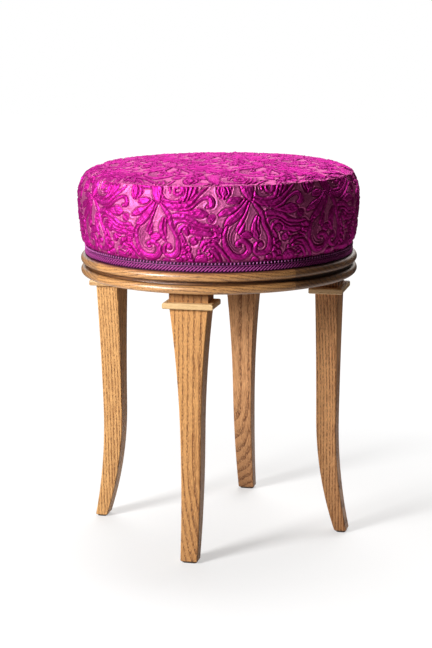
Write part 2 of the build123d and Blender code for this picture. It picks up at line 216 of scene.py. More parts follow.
def mix(tree, factor, first, second, blend="MIX"):
    """Blend two colours."""
    made = add(tree, "ShaderNodeMix", {0: factor, 6: first, 7: second}, data_type="RGBA", blend_type=blend)
    return made.outputs[2]


def maths(tree, operation, first, second=0.0):
    """One sum on two numbers."""
    return add(tree, "ShaderNodeMath", {0: first, 1: second}, operation=operation).outputs[0]


def spread(tree, value, low, high, to_low=0.0, to_high=1.0):
    """Stretch a number from one range to another, held at the ends."""
    made = add(
        tree,
        "ShaderNodeMapRange",
        {"Value": value, "From Min": low, "From Max": high, "To Min": to_low, "To Max": to_high},
    )
    return made.outputs["Result"]


def vector_maths(tree, operation, first, second=(0, 0, 0)):
    """One sum on two places, which gives a place or a number."""
    outputs = add(tree, "ShaderNodeVectorMath", {0: first, 1: second}, operation=operation).outputs
    return outputs["Value" if operation in ("LENGTH", "DOT_PRODUCT") else "Vector"]


def scaled(tree, vector, amounts):
    """Stretch a place along its axes."""
    return vector_maths(tree, "MULTIPLY", vector, amounts)


def noise(tree, vector, scale, detail=2.0):
    """Cloudy number from 0 to 1."""
    made = add(tree, "ShaderNodeTexNoise", {"Vector": vector, "Scale": scale, "Detail": detail})
    return made.outputs["Fac"]


def new_group(name, inputs, outputs):
    """Start a node group with named sockets."""
    group = bpy.data.node_groups.new(name, "ShaderNodeTree")
    for label, kind in inputs:
        group.interface.new_socket(label, in_out="INPUT", socket_type=kind)
    for label, kind in outputs:
        group.interface.new_socket(label, in_out="OUTPUT", socket_type=kind)
    return group, group.nodes.new("NodeGroupInput").outputs, group.nodes.new("NodeGroupOutput")


def new_material(name):
    """Start a material: its node tree, its shader and the place of each point."""
    material = bpy.data.materials.new(name)
    material.use_nodes = True
    tree = material.node_tree
    shader = tree.nodes["Principled BSDF"]
    place = add(tree, "ShaderNodeTexCoord").outputs["Object"]
    return material, tree, shader, place


def wire(node, **sockets):
    """Link or set the sockets of a node, named with underscores for spaces."""
    for key, value in sockets.items():
        socket = node.inputs[key.replace("_", " ")]
        if isinstance(value, bpy.types.NodeSocket):
            node.id_data.links.new(value, socket)
        else:
            socket.default_value = value


def bump(tree, height, distance, strength=1.0):
    """Fine relief from a height."""
    made = add(tree, "ShaderNodeBump", {"Height": height, "Distance": distance, "Strength": strength})
    return made.outputs["Normal"]


def stored(tree, name):
    """A number that is kept for each point of a piece."""
    return add(tree, "ShaderNodeAttribute", attribute_name=name).outputs["Fac"]


def grouped(tree, group, sockets):
    """The outputs of a node group, for the sockets it is given."""
    return add(tree, "ShaderNodeGroup", sockets, node_tree=group).outputs


def level_in(tree, place):
    """Height of a place above the floor."""
    return add(tree, "ShaderNodeSeparateXYZ", {0: place}).outputs["Z"]


COLOUR = "NodeSocketColor"
NUMBER = "NodeSocketFloat"
PLACE = "NodeSocketVector"


# Oak

# Colour that darkens the oak where a mask says: painted shade on the legs' necks and in the ring's groove,
# polish in the groove, and darker feet.
DARKENING_STAIN = (0.22, 0.13, 0.08, 1)
RING_SCALE = 84.0
RING_BEND = 2.2
RING_STRETCH = (1, 1, 0.06)
FIBRE_FINENESS = 950.0
FIBRE_STRETCH = (1, 1, 0.07)
PORE_FINENESS = 1450.0
PORE_STRETCH = (1, 1, 0.2)
CLOUD_FINENESS = 34.0


def oak_grain_group():
    """Straight oak grain along Z: growth rings, fibre, rows of short dark pores, and a given share of
    darkening.
    """
    group, given, out = new_group(
        "oak_grain",
        [("Place", PLACE), ("Pale", COLOUR), ("Dark", COLOUR), ("Pore", COLOUR), ("Darkening", NUMBER)],
        [("Colour", COLOUR), ("Roughness", NUMBER), ("Height", NUMBER)],
    )
    drawn = scaled(group, given["Place"], RING_STRETCH)
    bands = add(
        group,
        "ShaderNodeTexWave",
        {"Vector": drawn, "Scale": RING_SCALE, "Distortion": RING_BEND, "Detail": 2.0, "Detail Scale": 1.2},
        wave_type="RINGS",
        rings_direction="Z",
        wave_profile="SAW",
    ).outputs["Fac"]
    early = spread(group, bands, 0.45, 1.0)
    fibre = noise(group, scaled(group, given["Place"], FIBRE_STRETCH), FIBRE_FINENESS, 3.0)
    pores = noise(group, scaled(group, given["Place"], PORE_STRETCH), PORE_FINENESS, 1.0)
    in_early = spread(group, early, 0.05, 0.6, 0.3, 1.0)
    pore = maths(group, "MULTIPLY", spread(group, pores, 0.46, 0.62), in_early)
    cloud = noise(group, drawn, CLOUD_FINENESS)
    shade = maths(group, "MULTIPLY", early, 0.55)
    for part, low, high in ((fibre, -0.5, 0.6), (cloud, -0.25, 0.3)):
        shade = maths(group, "ADD", shade, spread(group, part, 0.3, 0.7, low, high))
    colour = mix(group, spread(group, shade, 0.0, 1.0), given["Pale"], given["Dark"])
    colour = mix(group, maths(group, "MULTIPLY", pore, 0.8), colour, given["Pore"])
    darkened = mix(group, 1.0, colour, DARKENING_STAIN, "MULTIPLY")
    sunk = maths(group, "ADD", pore, maths(group, "MULTIPLY", early, 0.25))
    wire(
        out,
        Colour=mix(group, given["Darkening"], colour, darkened),
        Roughness=spread(group, pore, 0.0, 1.0, 0.36, 0.6),
        Height=maths(group, "MULTIPLY", sunk, -1.0),
    )
    return group


OAK_GRAIN = oak_grain_group()
LEG_TONES = ((0.655, 0.345, 0.13, 1), (0.275, 0.108, 0.032, 1), (0.115, 0.041, 0.014, 1))
RING_TONES = ((0.46, 0.24, 0.094, 1), (0.2, 0.084, 0.026, 1), (0.085, 0.03, 0.01, 1))
# Colour shifts per leg: partly each leg's own tone, partly painted light, the right and back legs lightened
# and made bluer as painted fill in their shade.
LEG_TONE_AND_LIGHT_SHIFTS = {
    "right": (1.28, 1.25, 1.38),
    "back": (1.03, 1.02, 1.2),
    "left": (1.1, 1.14, 1.14),
    "front": (1.02, 0.98, 0.92),
}
# Colour shifts per ring segment: partly each board's own tone, partly painted light, the front segment
# lightened as a painted highlight and the right one darkened as painted shade.
RING_TONE_AND_LIGHT_SHIFTS = {
    "right": (0.72, 0.65, 0.62),
    "back": (1.0, 1.0, 1.0),
    "left": (1.06, 1.06, 1.1),
    "front": (1.38, 1.34, 1.2),
}
# Colour shifts per collar: the right collar is lightened as painted light that it doesn't get.
COLLAR_TONE_AND_LIGHT_SHIFTS = {
    "right": (1.42, 1.62, 1.9),
    "back": (1.0, 1.0, 1.0),
    "left": (1.0, 1.0, 1.0),
    "front": (1.02, 1.08, 1.08),
}
# Each leg is darker towards its foot, by a share given per leg.
LEG_FOOT_DARKENING = {"right": 0.5, "back": 0.45, "left": 0.0, "front": 0.3}
FOOT_DARKENING_LEVELS = (150 * MM, 5 * MM)
# Painted shade on the neck of each leg, under the overhang of the ring.
NECK_SHADE = 0.5
NECK_SHADE_LEVELS = (COLLAR_TOP - 2 * MM, COLLAR_TOP + 1 * MM)
# Darkening in the ring's groove and under the braid: partly old polish, partly painted shade.
GROOVE_POLISH_AND_SHADE = 0.86
GROOVE_REACH = (RING_RADIUS - 1.2 * MM, RING_RADIUS - 4 * MM)
GROOVE_LEVELS = (RING_BOTTOM + 4 * MM, RING_BOTTOM + 9 * MM)
COLLAR_TONES = ((0.70, 0.45, 0.22, 1), (0.51, 0.285, 0.112, 1), (0.36, 0.175, 0.062, 1))
GRAIN_TURNS = {"x": (0, math.radians(90), 0), "y": (math.radians(90), 0, 0), "z": (0, 0, 0)}
PITH_DISTANCE = 0.075
PITH_STEP = 1.35
PITH_SHIFT = 0.37
COLLAR_STRIPS = ("outer", "left", "inner", "right")
FIRST_RING_CUT = 4
FIRST_COLLAR_CUT = 8
LEG_POLISH = {"Coat_Weight": 0.0, "Coat_Roughness": 0.42}
RING_POLISH = {"Coat_Weight": 1.0, "Coat_Roughness": 0.34}
COLLAR_POLISH = {"Coat_Weight": 0.15, "Coat_Roughness": 0.42}
BEECH_TONES = ((0.62, 0.42, 0.25, 1), (0.48, 0.29, 0.16, 1))
BEECH_FINENESS = 900.0
BEECH_STRETCH = (1, 1, 0.2)
ZINC_TONES = ((0.55, 0.56, 0.58, 1), (0.40, 0.40, 0.41, 1))
ZINC_FINENESS = 1500.0


def foot_darkening_and_neck_shade(tree, place, darkening_amount):
    """Darker towards the foot of a leg, and painted shade on its neck between the collar and the ring."""
    level = level_in(tree, place)
    foot = spread(tree, level, *FOOT_DARKENING_LEVELS, 0.0, darkening_amount)
    neck = spread(tree, level, *NECK_SHADE_LEVELS, 0.0, NECK_SHADE)
    return maths(tree, "MAXIMUM", foot, neck)


def groove_polish_and_shade(tree, place, darkening_amount):
    """Darkening in the groove of the ring and against the braid: old polish, and painted shade under the
    upper bead and the overhang of the cushion.
    """
    reach = vector_maths(tree, "LENGTH", scaled(tree, place, (1, 1, 0)))
    sunk = spread(tree, reach, *GROOVE_REACH, 0.0, darkening_amount)
    above_edge = spread(tree, level_in(tree, place), *GROOVE_LEVELS)
    return maths(tree, "MULTIPLY", sunk, above_edge)


def dress(name, material):
    """Give one node of the frame its finish."""
    mesh = nodes[name].data
    mesh.materials.clear()
    mesh.materials.append(material)


def dress_in_oak(name, grain, number, tones, polish, darkening_mask=None, darkening_amount=0.0):
    """Waxed oak on one node, cut from its own place in the tree, with the grain along one axis."""
    material, tree, shader, place = new_material(f"oak_{name}")
    low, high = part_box(name)
    turn = number * PITH_STEP
    pith = (math.cos(turn) * PITH_DISTANCE, math.sin(turn) * PITH_DISTANCE, number * PITH_SHIFT)
    cut = add(
        tree,
        "ShaderNodeMapping",
        {
            "Vector": vector_maths(tree, "SUBTRACT", place, (low + high) / 2),
            "Rotation": GRAIN_TURNS[grain],
            "Location": pith,
        },
    ).outputs[0]
    sockets = {"Place": cut, **dict(zip(("Pale", "Dark", "Pore"), tones))}
    if darkening_mask:
        sockets["Darkening"] = darkening_mask(tree, place, darkening_amount)
    grained = grouped(tree, OAK_GRAIN, sockets)
    wire(
        shader,
        Base_Color=grained["Colour"],
        Roughness=grained["Roughness"],
        Normal=bump(tree, grained["Height"], 0.25 * MM),
        Specular_IOR_Level=0.35,
        **polish,
    )
    dress(name, material)


def shaded(tones, shades):
    """Colours with their red, green and blue made lighter or darker."""
    return [[part * shade for part, shade in zip(tone, shades)] + [1] for tone in tones]


def dress_woodwork():
    """Oak on the legs, the ring and the collars, each cut from another place in the tree."""
    for number, side in enumerate(LEG_SIDES):
        along, across = ("y", "x") if side in ("right", "left") else ("x", "y")
        # The colour shifts per side hold painted light as well as the tone of each piece.
        leg_tones_with_light = shaded(LEG_TONES, LEG_TONE_AND_LIGHT_SHIFTS[side])
        dress_in_oak(f"leg_{side}", "z", number, leg_tones_with_light, LEG_POLISH, foot_darkening_and_neck_shade, LEG_FOOT_DARKENING[side])
        ring_name = f"ring_segment_{side}"
        ring_tones_with_light = shaded(RING_TONES, RING_TONE_AND_LIGHT_SHIFTS[side])
        ring_cut = FIRST_RING_CUT + number
        dress_in_oak(ring_name, along, ring_cut, ring_tones_with_light, RING_POLISH, groove_polish_and_shade, GROOVE_POLISH_AND_SHADE)
        collar_tones_with_light = shaded(COLLAR_TONES, COLLAR_TONE_AND_LIGHT_SHIFTS[side])
        for strip_number, strip in enumerate(COLLAR_STRIPS):
            grain = along if strip in ("outer", "inner") else across
            strip_cut = FIRST_COLLAR_CUT + number * len(COLLAR_STRIPS) + strip_number
            dress_in_oak(f"collar_{strip}_{side}", grain, strip_cut, collar_tones_with_light, COLLAR_POLISH)


def beech():
    """Plain pale beech for the dowels and wedges inside."""
    material, tree, shader, place = new_material("beech")
    fleck = spread(tree, noise(tree, scaled(tree, place, BEECH_STRETCH), BEECH_FINENESS), 0.4, 0.7)
    wire(
        shader,
        Base_Color=mix(tree, fleck, *BEECH_TONES),
        Roughness=0.6,
        Normal=bump(tree, fleck, 0.1 * MM),
    )
    return material


def staple_wire():
    """Zinc-plated staple wire."""
    material, tree, shader, place = new_material("staple_wire")
    mottle = noise(tree, place, ZINC_FINENESS)
    wire(
        shader,
        Base_Color=mix(tree, mottle, *ZINC_TONES),
        Metallic=1.0,
        Roughness=spread(tree, mottle, 0.3, 0.7, 0.28, 0.45),
    )
    return material


# Drawing of the brocade: one repeat of scrolls and leaves, in millimetres from the tip of its teardrop.
# Each stroke is a run of points (across, up, half width). Strokes drawn later lie over earlier ones.

REPEAT_WIDTH = 108.5
REPEAT_HEIGHT = 100.0
REPEATS_ROUND = 10
TEARDROP_ANGLE = VIEW_AZIMUTH + 39.5 * MM / PAD_RADIUS
REPEAT_DROP = 2.0
REPEAT_SKEW = 4.4
PALE_RIBS = [
    [(-16, 54, 0.5), (-22, 47, 0.9), (-26.5, 39, 1.0), (-27.5, 30, 1.0), (-26, 22, 1.0), (-21, 15.5, 1.0),
     (-14, 13, 1.0), (-8.5, 15, 0.9), (-7, 19, 0.6)],
    [(-13.5, 53, 0.5), (-18.5, 45.5, 0.8), (-23, 37.5, 0.9), (-24.5, 30, 0.9), (-23.5, 23.5, 0.9),
     (-19.5, 18.5, 0.9), (-14, 16.5, 0.8), (-10.5, 18, 0.5)],
    [(-13, 49, 0.4), (-17, 42, 0.8), (-20.5, 34.5, 0.9), (-21.3, 28, 0.8), (-19.8, 22.5, 0.5)],
    [(52, 91, 0.5), (49.5, 86, 0.9), (45.5, 81, 0.8), (41, 77, 0.4)],
    [(47.5, 93, 0.5), (46.5, 87.5, 0.9), (43, 82, 0.8), (39.5, 77.5, 0.4)],
    [(7, 90, 0.6), (7.5, 85.5, 1.0), (11, 82, 1.2), (16, 80.8, 1.2), (21, 82, 0.8)],
]
LUMPS = [
    [(-34, 84, 4.0), (-31.5, 89, 6.5), (-33, 95, 5.5)],
    [(-28, 75, 1.2), (-24, 76, 2.6), (-18, 76, 2.8), (-12.5, 77.5, 1.4)],
    [(-14, 92, 1.5), (-20, 95.5, 3.0), (-26, 97, 2.5)],
    [(27, 31, 1.0), (26.5, 24, 1.6), (27.5, 17, 1.4)],
    [(31.5, 30, 1.0), (31.5, 23, 1.7), (31, 16, 1.4)],
    [(-45, 36, 4.0), (-39, 36.5, 4.2)],
    [(-41, 43.5, 3.0), (-36, 41, 2.2)],
    [(-46, 29, 2.6), (-41.5, 29.5, 2.4)],
    [(29, 25.5, 3.4)],
    [(33.5, 19.5, 3.2)],
    [(28, 15, 3.2)],
    [(34.5, 10.5, 3.4)],
    [(28, 7.5, 3.4)],
    [(21.5, 5.5, 3.4)],
    [(36, 3, 3.0)],
    [(6, 1.5, 3.8)],
    [(42, 28.5, 3.8)],
    [(48, 33, 3.0)],
]
ROSE = [
    [(51, 22, 2.4), (54, 27, 2.6), (60, 29, 2.4)],
    [(62.5, 27.5, 2.2), (67.5, 23, 2.6), (68.5, 17, 2.0)],
    [(47.5, 17, 1.8), (47, 10.5, 2.4), (49.5, 4, 2.0)],
    [(69, 14, 2.0), (68, 7.5, 2.4), (64, 1.5, 2.0)],
    [(52, 1, 2.0), (57.5, -0.5, 2.4), (62, 1, 1.8)],
    [(52.5, 17, 1.6), (55.5, 21.5, 2.1), (61.5, 22, 1.8)],
    [(63.5, 19, 1.6), (64.5, 13, 2.1), (62, 7.5, 1.6)],
    [(59, 6, 1.6), (53.5, 7.5, 2.1), (51.5, 12.5, 1.6)],
    [(55.5, 15.5, 1.3), (59.5, 16, 1.6), (60.5, 12.5, 1.5), (57.5, 10.5, 1.3)],
]
LEAVES = [
    [(30, 41.5, 2.0), (38, 42, 3.6), (46, 41, 4.2), (54, 39, 3.8), (62, 37.5, 1.6)],
    [(24, 35.5, 0.9), (24.5, 42.5, 1.8), (29.5, 47, 2.2), (35.5, 46.5, 1.9), (38, 43.5, 0.9)],
    [(29.5, 41.5, 1.8), (33, 41, 2.6), (34.5, 37, 1.4)],
    [(26.5, 37, 1.0), (29.5, 32.5, 1.8), (31, 29, 0.9)],
    [(18, 62.3, 0.5), (28, 62, 1.5), (38, 62.4, 3.1), (47, 62.2, 4.2), (54, 61.6, 2.8), (59, 61.5, 0.5)],
    [(6, 57, 0.6), (3.5, 50, 2.0), (2.6, 42, 3.1), (4, 35, 2.8), (7.5, 28.5, 0.7)],
    [(9.8, 58.5, 0.6), (8.2, 51, 1.5), (7.8, 43.5, 1.5), (8.8, 36, 0.6)],
    [(-9, 50, 0.6), (-12, 43.5, 1.8), (-12.8, 38, 2.2), (-10, 34, 1.2)],
    [(-10.5, 33, 2.2), (-6.5, 33.5, 3.9), (-2.5, 34, 2.6)],
]
SCROLLS = [
    [(31, 97, 1.1), (33.3, 90, 1.7), (31.5, 83, 2.0), (26.5, 77.5, 2.2), (19, 75.3, 2.3), (11, 75.3, 2.3),
     (5, 78.5, 1.9), (2.4, 84, 1.1)],
    [(12.5, 87, 1.1), (12.3, 93, 1.6), (17, 97.6, 1.9), (24, 97, 2.0), (28, 92, 1.9), (27, 86.5, 1.8),
     (22, 84.6, 1.6), (18.2, 87.2, 1.4), (19, 91, 1.4), (22.3, 91.6, 1.4)],
    [(37.3, 97, 1.4), (38, 90, 2.0), (36, 82, 1.8), (32, 76, 0.7)],
    [(43.4, 97, 1.4), (43.4, 88, 2.0), (40, 80.5, 1.7), (35.5, 75.5, 0.7)],
    [(-50, 24, 1.4), (-43, 22.8, 1.9), (-37, 18, 2.1), (-32, 10.5, 1.9), (-26, 2, 1.5), (-22, -4, 1.2)],
    [(-47, 15.5, 1.1), (-42, 13.5, 1.7), (-38.8, 8, 1.7), (-36, 1, 1.3), (-35, -4, 1.0)],
    [(19, 38, 0.7), (18.6, 46, 1.4), (21, 51.8, 1.7), (27, 54.2, 1.8), (34, 52.2, 1.8), (42, 47.6, 1.8),
     (50, 44.2, 1.9), (59, 42.6, 1.2)],
    [(11.5, 51, 1.1), (14.5, 56.5, 2.0), (20, 58.8, 2.2), (28, 58.8, 2.3), (36, 55.8, 2.2), (44, 51.3, 2.1),
     (52, 48, 1.9), (61, 46.4, 1.6), (70, 46.2, 1.0)],
    [(2, 73, 0.6), (10, 70, 1.2), (20, 67.4, 1.5), (29, 67, 1.6), (38, 69.8, 1.5), (46, 75.2, 1.4),
     (53, 79, 1.7), (59, 79.4, 2.1), (62.8, 75.5, 2.3), (62.5, 70.5, 2.2), (58.5, 68.3, 1.5)],
    [(0, 76.5, 0.9), (6, 73.8, 1.8), (14, 71.8, 2.4), (22, 71, 2.6), (30, 71.6, 2.3), (38, 75.3, 1.9),
     (45, 81, 1.5), (51.5, 87.5, 1.2), (57, 93.5, 0.8)],
    [(-2, 73, 0.7), (-6, 62.5, 1.2), (-11, 53, 1.5), (-15.3, 45, 1.4), (-17, 39, 0.8)],
    [(-5.5, 79.5, 0.8), (-12, 71, 1.8), (-20, 66.6, 2.3), (-29, 62.8, 3.0), (-36, 58.2, 1.8)],
    [(-4, 76.5, 0.8), (-9, 68.3, 2.2), (-15, 61.3, 3.4), (-22, 54.6, 3.8), (-28, 48, 2.6), (-31, 42, 1.2)],
    [(-28.5, 45, 1.0), (-31.3, 38, 1.9), (-31.8, 30, 2.2), (-30.3, 21.5, 2.3), (-26.5, 14, 2.5),
     (-20.5, 9.3, 2.7), (-13, 7.8, 2.8), (-6, 9.6, 2.7), (-2.3, 15, 2.5), (-3, 21.5, 2.4),
     (-7.5, 25.4, 2.3), (-13, 26.3, 2.2), (-16.6, 24, 1.9), (-15.6, 20.8, 1.4), (-12, 20.8, 1.0)],
    [(0, 73.5, 0.8), (5, 69, 1.8), (10, 62, 2.2), (13, 54.5, 2.0), (15.3, 47, 1.9), (18.3, 40, 1.9),
     (21.3, 33, 2.1), (22.8, 26, 2.3), (21.5, 18, 2.4), (17, 12.4, 2.4), (11, 10.4, 2.2), (5.5, 12, 2.1),
     (3.6, 17.5, 1.9), (5.2, 23, 1.8), (9.5, 25, 1.7), (12.4, 22, 1.5), (10.6, 19.3, 1.2)],
    [(-5.5, 104, 6.2), (-5.5, 96, 5.8), (-4.8, 88, 4.8), (-3.2, 81, 3.2), (-1.2, 75.5, 1.6)],
    [(-36, 81.5, 0.9), (-38.8, 87.5, 1.5), (-36.5, 94, 1.3)],
    [(-30.5, 80, 0.9), (-26.3, 84.5, 1.6), (-27.3, 91, 1.5), (-31, 94.5, 0.9)],
    [(10.4, 21.6, 2.8)],
]
ROSETTE_PLACE = (62.0, 55.0)
ROSETTE_RADII = (5.4, 3.4, 1.5)
ROSETTE_LIFTS = (0.98, 1.26, 1.54)
RELIEF_STEP = 0.25
RELIEF_MARGIN = 2.0
STROKE_STEP = 0.45
LIFT_RIB = 0.7
LIFT_LUMP = 1.4
LIFT_LEAF = 1.3
LIFT_SCROLL = 1.5
SLIM_LIFT = 0.4
FULL_WIDTH = 6.0
STROKE_FLATNESS = 4
STROKE_ROUNDING = 0.7
VALLEY_SHADE = 0.5
CREASE_DEPTH = 0.8
CREASE_WIDTH = 0.75
CREASE_INSIDE = 0.7
RIDGE_DEPTH = 0.5
RIDGE_PITCH = 2.8
RIDGED_WIDTH = 2.0
LIP_LIFT = 0.45
LIP_OFFSET = 1.9
LIP_WIDTH = 0.75
RIB_TONE = 0.25
FULLNESS = 1.45
ROSE_FULLNESS = 1.1
ROSE_TONE = 0.9


def flowing(points):
    """Close points on a smooth curve through the points of a stroke, with its half width."""
    points = np.asarray(points, float)
    if len(points) == 1:
        return points
    ends = np.concatenate([[2 * points[0] - points[1]], points, [2 * points[-1] - points[-2]]])
    run = []
    for before, start, end, after in zip(ends, ends[1:], ends[2:], ends[3:]):
        count = max(2, int(np.hypot(*(end - start)[:2]) / STROKE_STEP))
        t = (np.arange(count) / count)[:, None]
        run.append(
            0.5
            * (
                2 * start
                + (end - before) * t
                + (2 * before - 5 * start + 4 * end - after) * t**2
                + (3 * start - before - 3 * end + after) * t**3
            )
        )
    return np.concatenate([*run, points[-1:]])


def relief_grid():
    """Empty fields of one repeat: its places, and its height, tone, painted shade of the creases and thread
    lines.
    """
    across = np.arange(0, REPEAT_WIDTH, RELIEF_STEP)
    up = np.arange(-RELIEF_MARGIN, REPEAT_HEIGHT + RELIEF_MARGIN, RELIEF_STEP)
    shape = (len(up), len(across))
    return across, up, {name: np.zeros(shape) for name in ("height", "tone", "shaded_crease", "lines")}


def press(fields, window, near, half_width, lift, tone, lines):
    """Press one stroke into part of the fields: a ridged band with a creased border and a lip round it, and
    painted shade in the creases, at the stroke's edge and in its ridge valleys.
    """
    inside = near < half_width
    share = np.clip(near / half_width, 0, 1)
    fullness = np.minimum(1.0, SLIM_LIFT + half_width / FULL_WIDTH)
    pad = lift * fullness * (1 - share**STROKE_FLATNESS) ** STROKE_ROUNDING
    shaded_crease = np.exp(-((np.maximum(near - half_width, 0) / CREASE_WIDTH) ** 2))
    edge = np.exp(-(((half_width - near) / CREASE_INSIDE) ** 2))
    lip = LIP_LIFT * np.exp(-(((near - half_width - LIP_OFFSET) / LIP_WIDTH) ** 2))
    valley = (0.5 - 0.5 * np.cos(2 * math.pi * near / RIDGE_PITCH)) * (half_width > RIDGED_WIDTH)
    height, creases = fields["height"][window], fields["shaded_crease"][window]
    on_stroke = {
        "height": pad - CREASE_DEPTH * edge - RIDGE_DEPTH * valley,
        "tone": tone,
        "shaded_crease": np.maximum(edge, valley * VALLEY_SHADE),
        "lines": lines,
    }
    beside = {
        "height": height * (1 - shaded_crease) - CREASE_DEPTH * shaded_crease + lip,
        "tone": fields["tone"][window],
        "shaded_crease": np.maximum(creases, shaded_crease),
        "lines": fields["lines"][window],
    }
    for name, field in fields.items():
        field[window] = np.where(inside, on_stroke[name], beside[name])


def draw_stroke(across, up, fields, points, lift, tone):
    """Draw one stroke at each place where the repeat brings it, with each row moved on by half a repeat."""
    run = flowing(points)
    heading = np.gradient(run[:, :2], axis=0) if len(run) > 1 else np.array([(0.0, 0.0)])
    reach = run[:, 2].max() + LIP_OFFSET + 2 * LIP_WIDTH
    for row in (-1, 0, 1):
        for column in (-2, -1, 0, 1, 2):
            place = run[:, :2] + ((column + row / 2) * REPEAT_WIDTH, row * REPEAT_HEIGHT)
            low = place.min(0) - reach
            high = place.max(0) + reach
            columns = slice(np.searchsorted(across, low[0]), np.searchsorted(across, high[0]))
            rows = slice(np.searchsorted(up, low[1]), np.searchsorted(up, high[1]))
            if columns.start == columns.stop or rows.start == rows.stop:
                continue
            spot = np.stack(np.meshgrid(across[columns], up[rows]), -1)
            gap = np.linalg.norm(spot[:, :, None, :] - place, axis=-1)
            nearest = np.argmin(gap / run[:, 2], axis=-1)
            near = np.take_along_axis(gap, nearest[..., None], -1)[..., 0]
            ahead = heading[nearest]
            offset = spot - place[nearest]
            left = ahead[..., 0] * offset[..., 1] - ahead[..., 1] * offset[..., 0]
            lines = np.where(left < 0, -near, near)
            press(fields, (rows, columns), near, run[nearest, 2], lift, tone, lines)


def draw_repeat():
    """The relief of one repeat of the brocade."""
    across, up, fields = relief_grid()
    for strokes, lift, tone, fullness in (
        (PALE_RIBS, LIFT_RIB, RIB_TONE, 1.0),
        (LUMPS, LIFT_LUMP, 1.0, FULLNESS),
        (ROSE, LIFT_LUMP, ROSE_TONE, ROSE_FULLNESS),
        (LEAVES, LIFT_LEAF, 1.0, FULLNESS),
        (SCROLLS, LIFT_SCROLL, 1.0, FULLNESS),
    ):
        for points in strokes:
            draw_stroke(across, up, fields, np.array(points, float) * (1, 1, fullness), lift, tone)
    for radius, lift in zip(ROSETTE_RADII, ROSETTE_LIFTS):
        draw_stroke(across, up, fields, [(*ROSETTE_PLACE, radius)], lift, 1.0)
    return fields


def on_repeat(field, across, up):
    """A field of the brocade read at places on the cloth, in millimetres."""
    row = np.floor(up / REPEAT_HEIGHT)
    column = ((across - row * REPEAT_WIDTH / 2) % REPEAT_WIDTH) / RELIEF_STEP
    level = (up - row * REPEAT_HEIGHT + RELIEF_MARGIN) / RELIEF_STEP
    left = np.floor(column).astype(int)
    below = np.clip(np.floor(level).astype(int), 0, field.shape[0] - 2)
    right = (left + 1) % field.shape[1]
    left = left % field.shape[1]
    along = column - np.floor(column)
    rise = level - below
    lower = field[below, left] * (1 - along) + field[below, right] * along
    upper = field[below + 1, left] * (1 - along) + field[below + 1, right] * along
    return lower * (1 - rise) + upper * rise


def thread_lines(fields, across):
    """Where the threads run: upright on the ground, along the strokes on what is raised."""
    return np.where(fields["tone"] > RIB_TONE, fields["lines"], across)


BROCADE = draw_repeat()
GROUND_SINK = 1.2
PAD_WAVES = ((3, 0.8, 0.0, 0.25), (5, 2.1, 1 / 40, 0.175), (11, 0.0, 1 / 23, 0.125))
DRIFT_WAVES = ((23, 0.11, 0.6), (41, -0.19, 0.4), (67, 0.31, 0.25))
CRUMPLE_WAVES = ((97, 0.42, 0.16), (151, -0.8, 0.13), (211, 0.95, 0.1), (307, -1.3, 0.06))
DRIFT_STARTS = (0.7, 2.9)
CRUMPLE_START = 1.1


def wander(turn, up, waves, start):
    """Uneven drift of the cloth, in millimetres: a sum of waves (round, upwards, size)."""
    return sum(
        size * np.sin(k * turn + rise * up + start * (1 + number))
        for number, (k, rise, size) in enumerate(waves)
    )


def embossed(across, up):
    """The fields of the brocade at places on the cloth, with the drift and crumple of hand-laid cloth."""
    turn = across / (PAD_RADIUS / MM)
    aside, above = [wander(turn, up, DRIFT_WAVES, start) for start in DRIFT_STARTS]
    fields = {name: on_repeat(field, across + aside, up + above) for name, field in BROCADE.items()}
    fields["height"] += wander(turn, up, CRUMPLE_WAVES, CRUMPLE_START) * fields["tone"]
    return fields


def pad_wave(angle, level):
    """Slow swell of the stuffing, in millimetres: a sum of waves (round, start, upwards, size)."""
    return sum(size * np.sin(k * angle + start + rise * level) for k, start, rise, size in PAD_WAVES)


# Cover

BAND_COLUMNS = 1400
BAND_ROW_STEP = 0.8
FOOT_FADE = 2.2
FOOT_FADE_FROM = -1.0
FOOT_TUCK = 2.2 * MM
FOOT_REACH = 3.5
PUCKER_SIZE = 0.5
PUCKER_REACH = 9.0
PUCKER_FOLDS = 38
PUCKER_DRIFT = 1.5
PUCKER_DRIFT_WAVES = 7
SEAM_FADE = 0.9
EDGE_SHADE = 1.6
# Width of the painted highlight along the seam.
SEAM_HIGHLIGHT_STRIP = 4.5 * MM
TOP_DIVISIONS = 400
TOP_REPEAT_SHIFT = 40.0
TOP_WAVE_LEVEL = 90.0
DRIFT_POWER = 8
RISE_POWER = 12
LINING_ROWS = 5
LINING_RADII = np.array([SEAM_RADIUS - 5 * MM, 0.8 * SEAM_RADIUS, 0.4 * SEAM_RADIUS])
LONG_CURVE_POINTS = 60
SHORT_CURVE_POINTS = 40
TABLE_POINTS = 400


def band_curve():
    """Outside of the band: from its foot on the ring, up the drawn-in side, over to the seam."""
    levels = np.linspace(PAD_BASE, WIDEST[1], LONG_CURVE_POINTS)
    below = (WIDEST[1] - levels) / (WIDEST[1] - PAD_BASE)
    side = np.stack([WIDEST[0] - SIDE_DRAW_IN * below**2, levels], 1)
    corner = crossing(SEAM, SEAM_SLOPE_BAND, WIDEST, math.radians(90))
    return np.concatenate([side[:-1], bezier(WIDEST, corner, SEAM, SHORT_CURVE_POINTS)])


def top_curve():
    """Outside of the top panel: from the middle of the crown out to the seam."""
    crown_radius = (CROWN_REACH**2 + CROWN_DROP**2) / (2 * CROWN_DROP)
    fall = math.asin(CROWN_REACH / crown_radius)
    angles = np.linspace(0, fall, LONG_CURVE_POINTS)
    crown = np.stack([crown_radius * np.sin(angles), CROWN_TOP - crown_radius * (1 - np.cos(angles))], 1)
    corner = crossing(crown[-1], fall, SEAM, SEAM_SLOPE_TOP)
    return np.concatenate([crown[:-1], bezier(crown[-1], corner, SEAM, SHORT_CURVE_POINTS)])


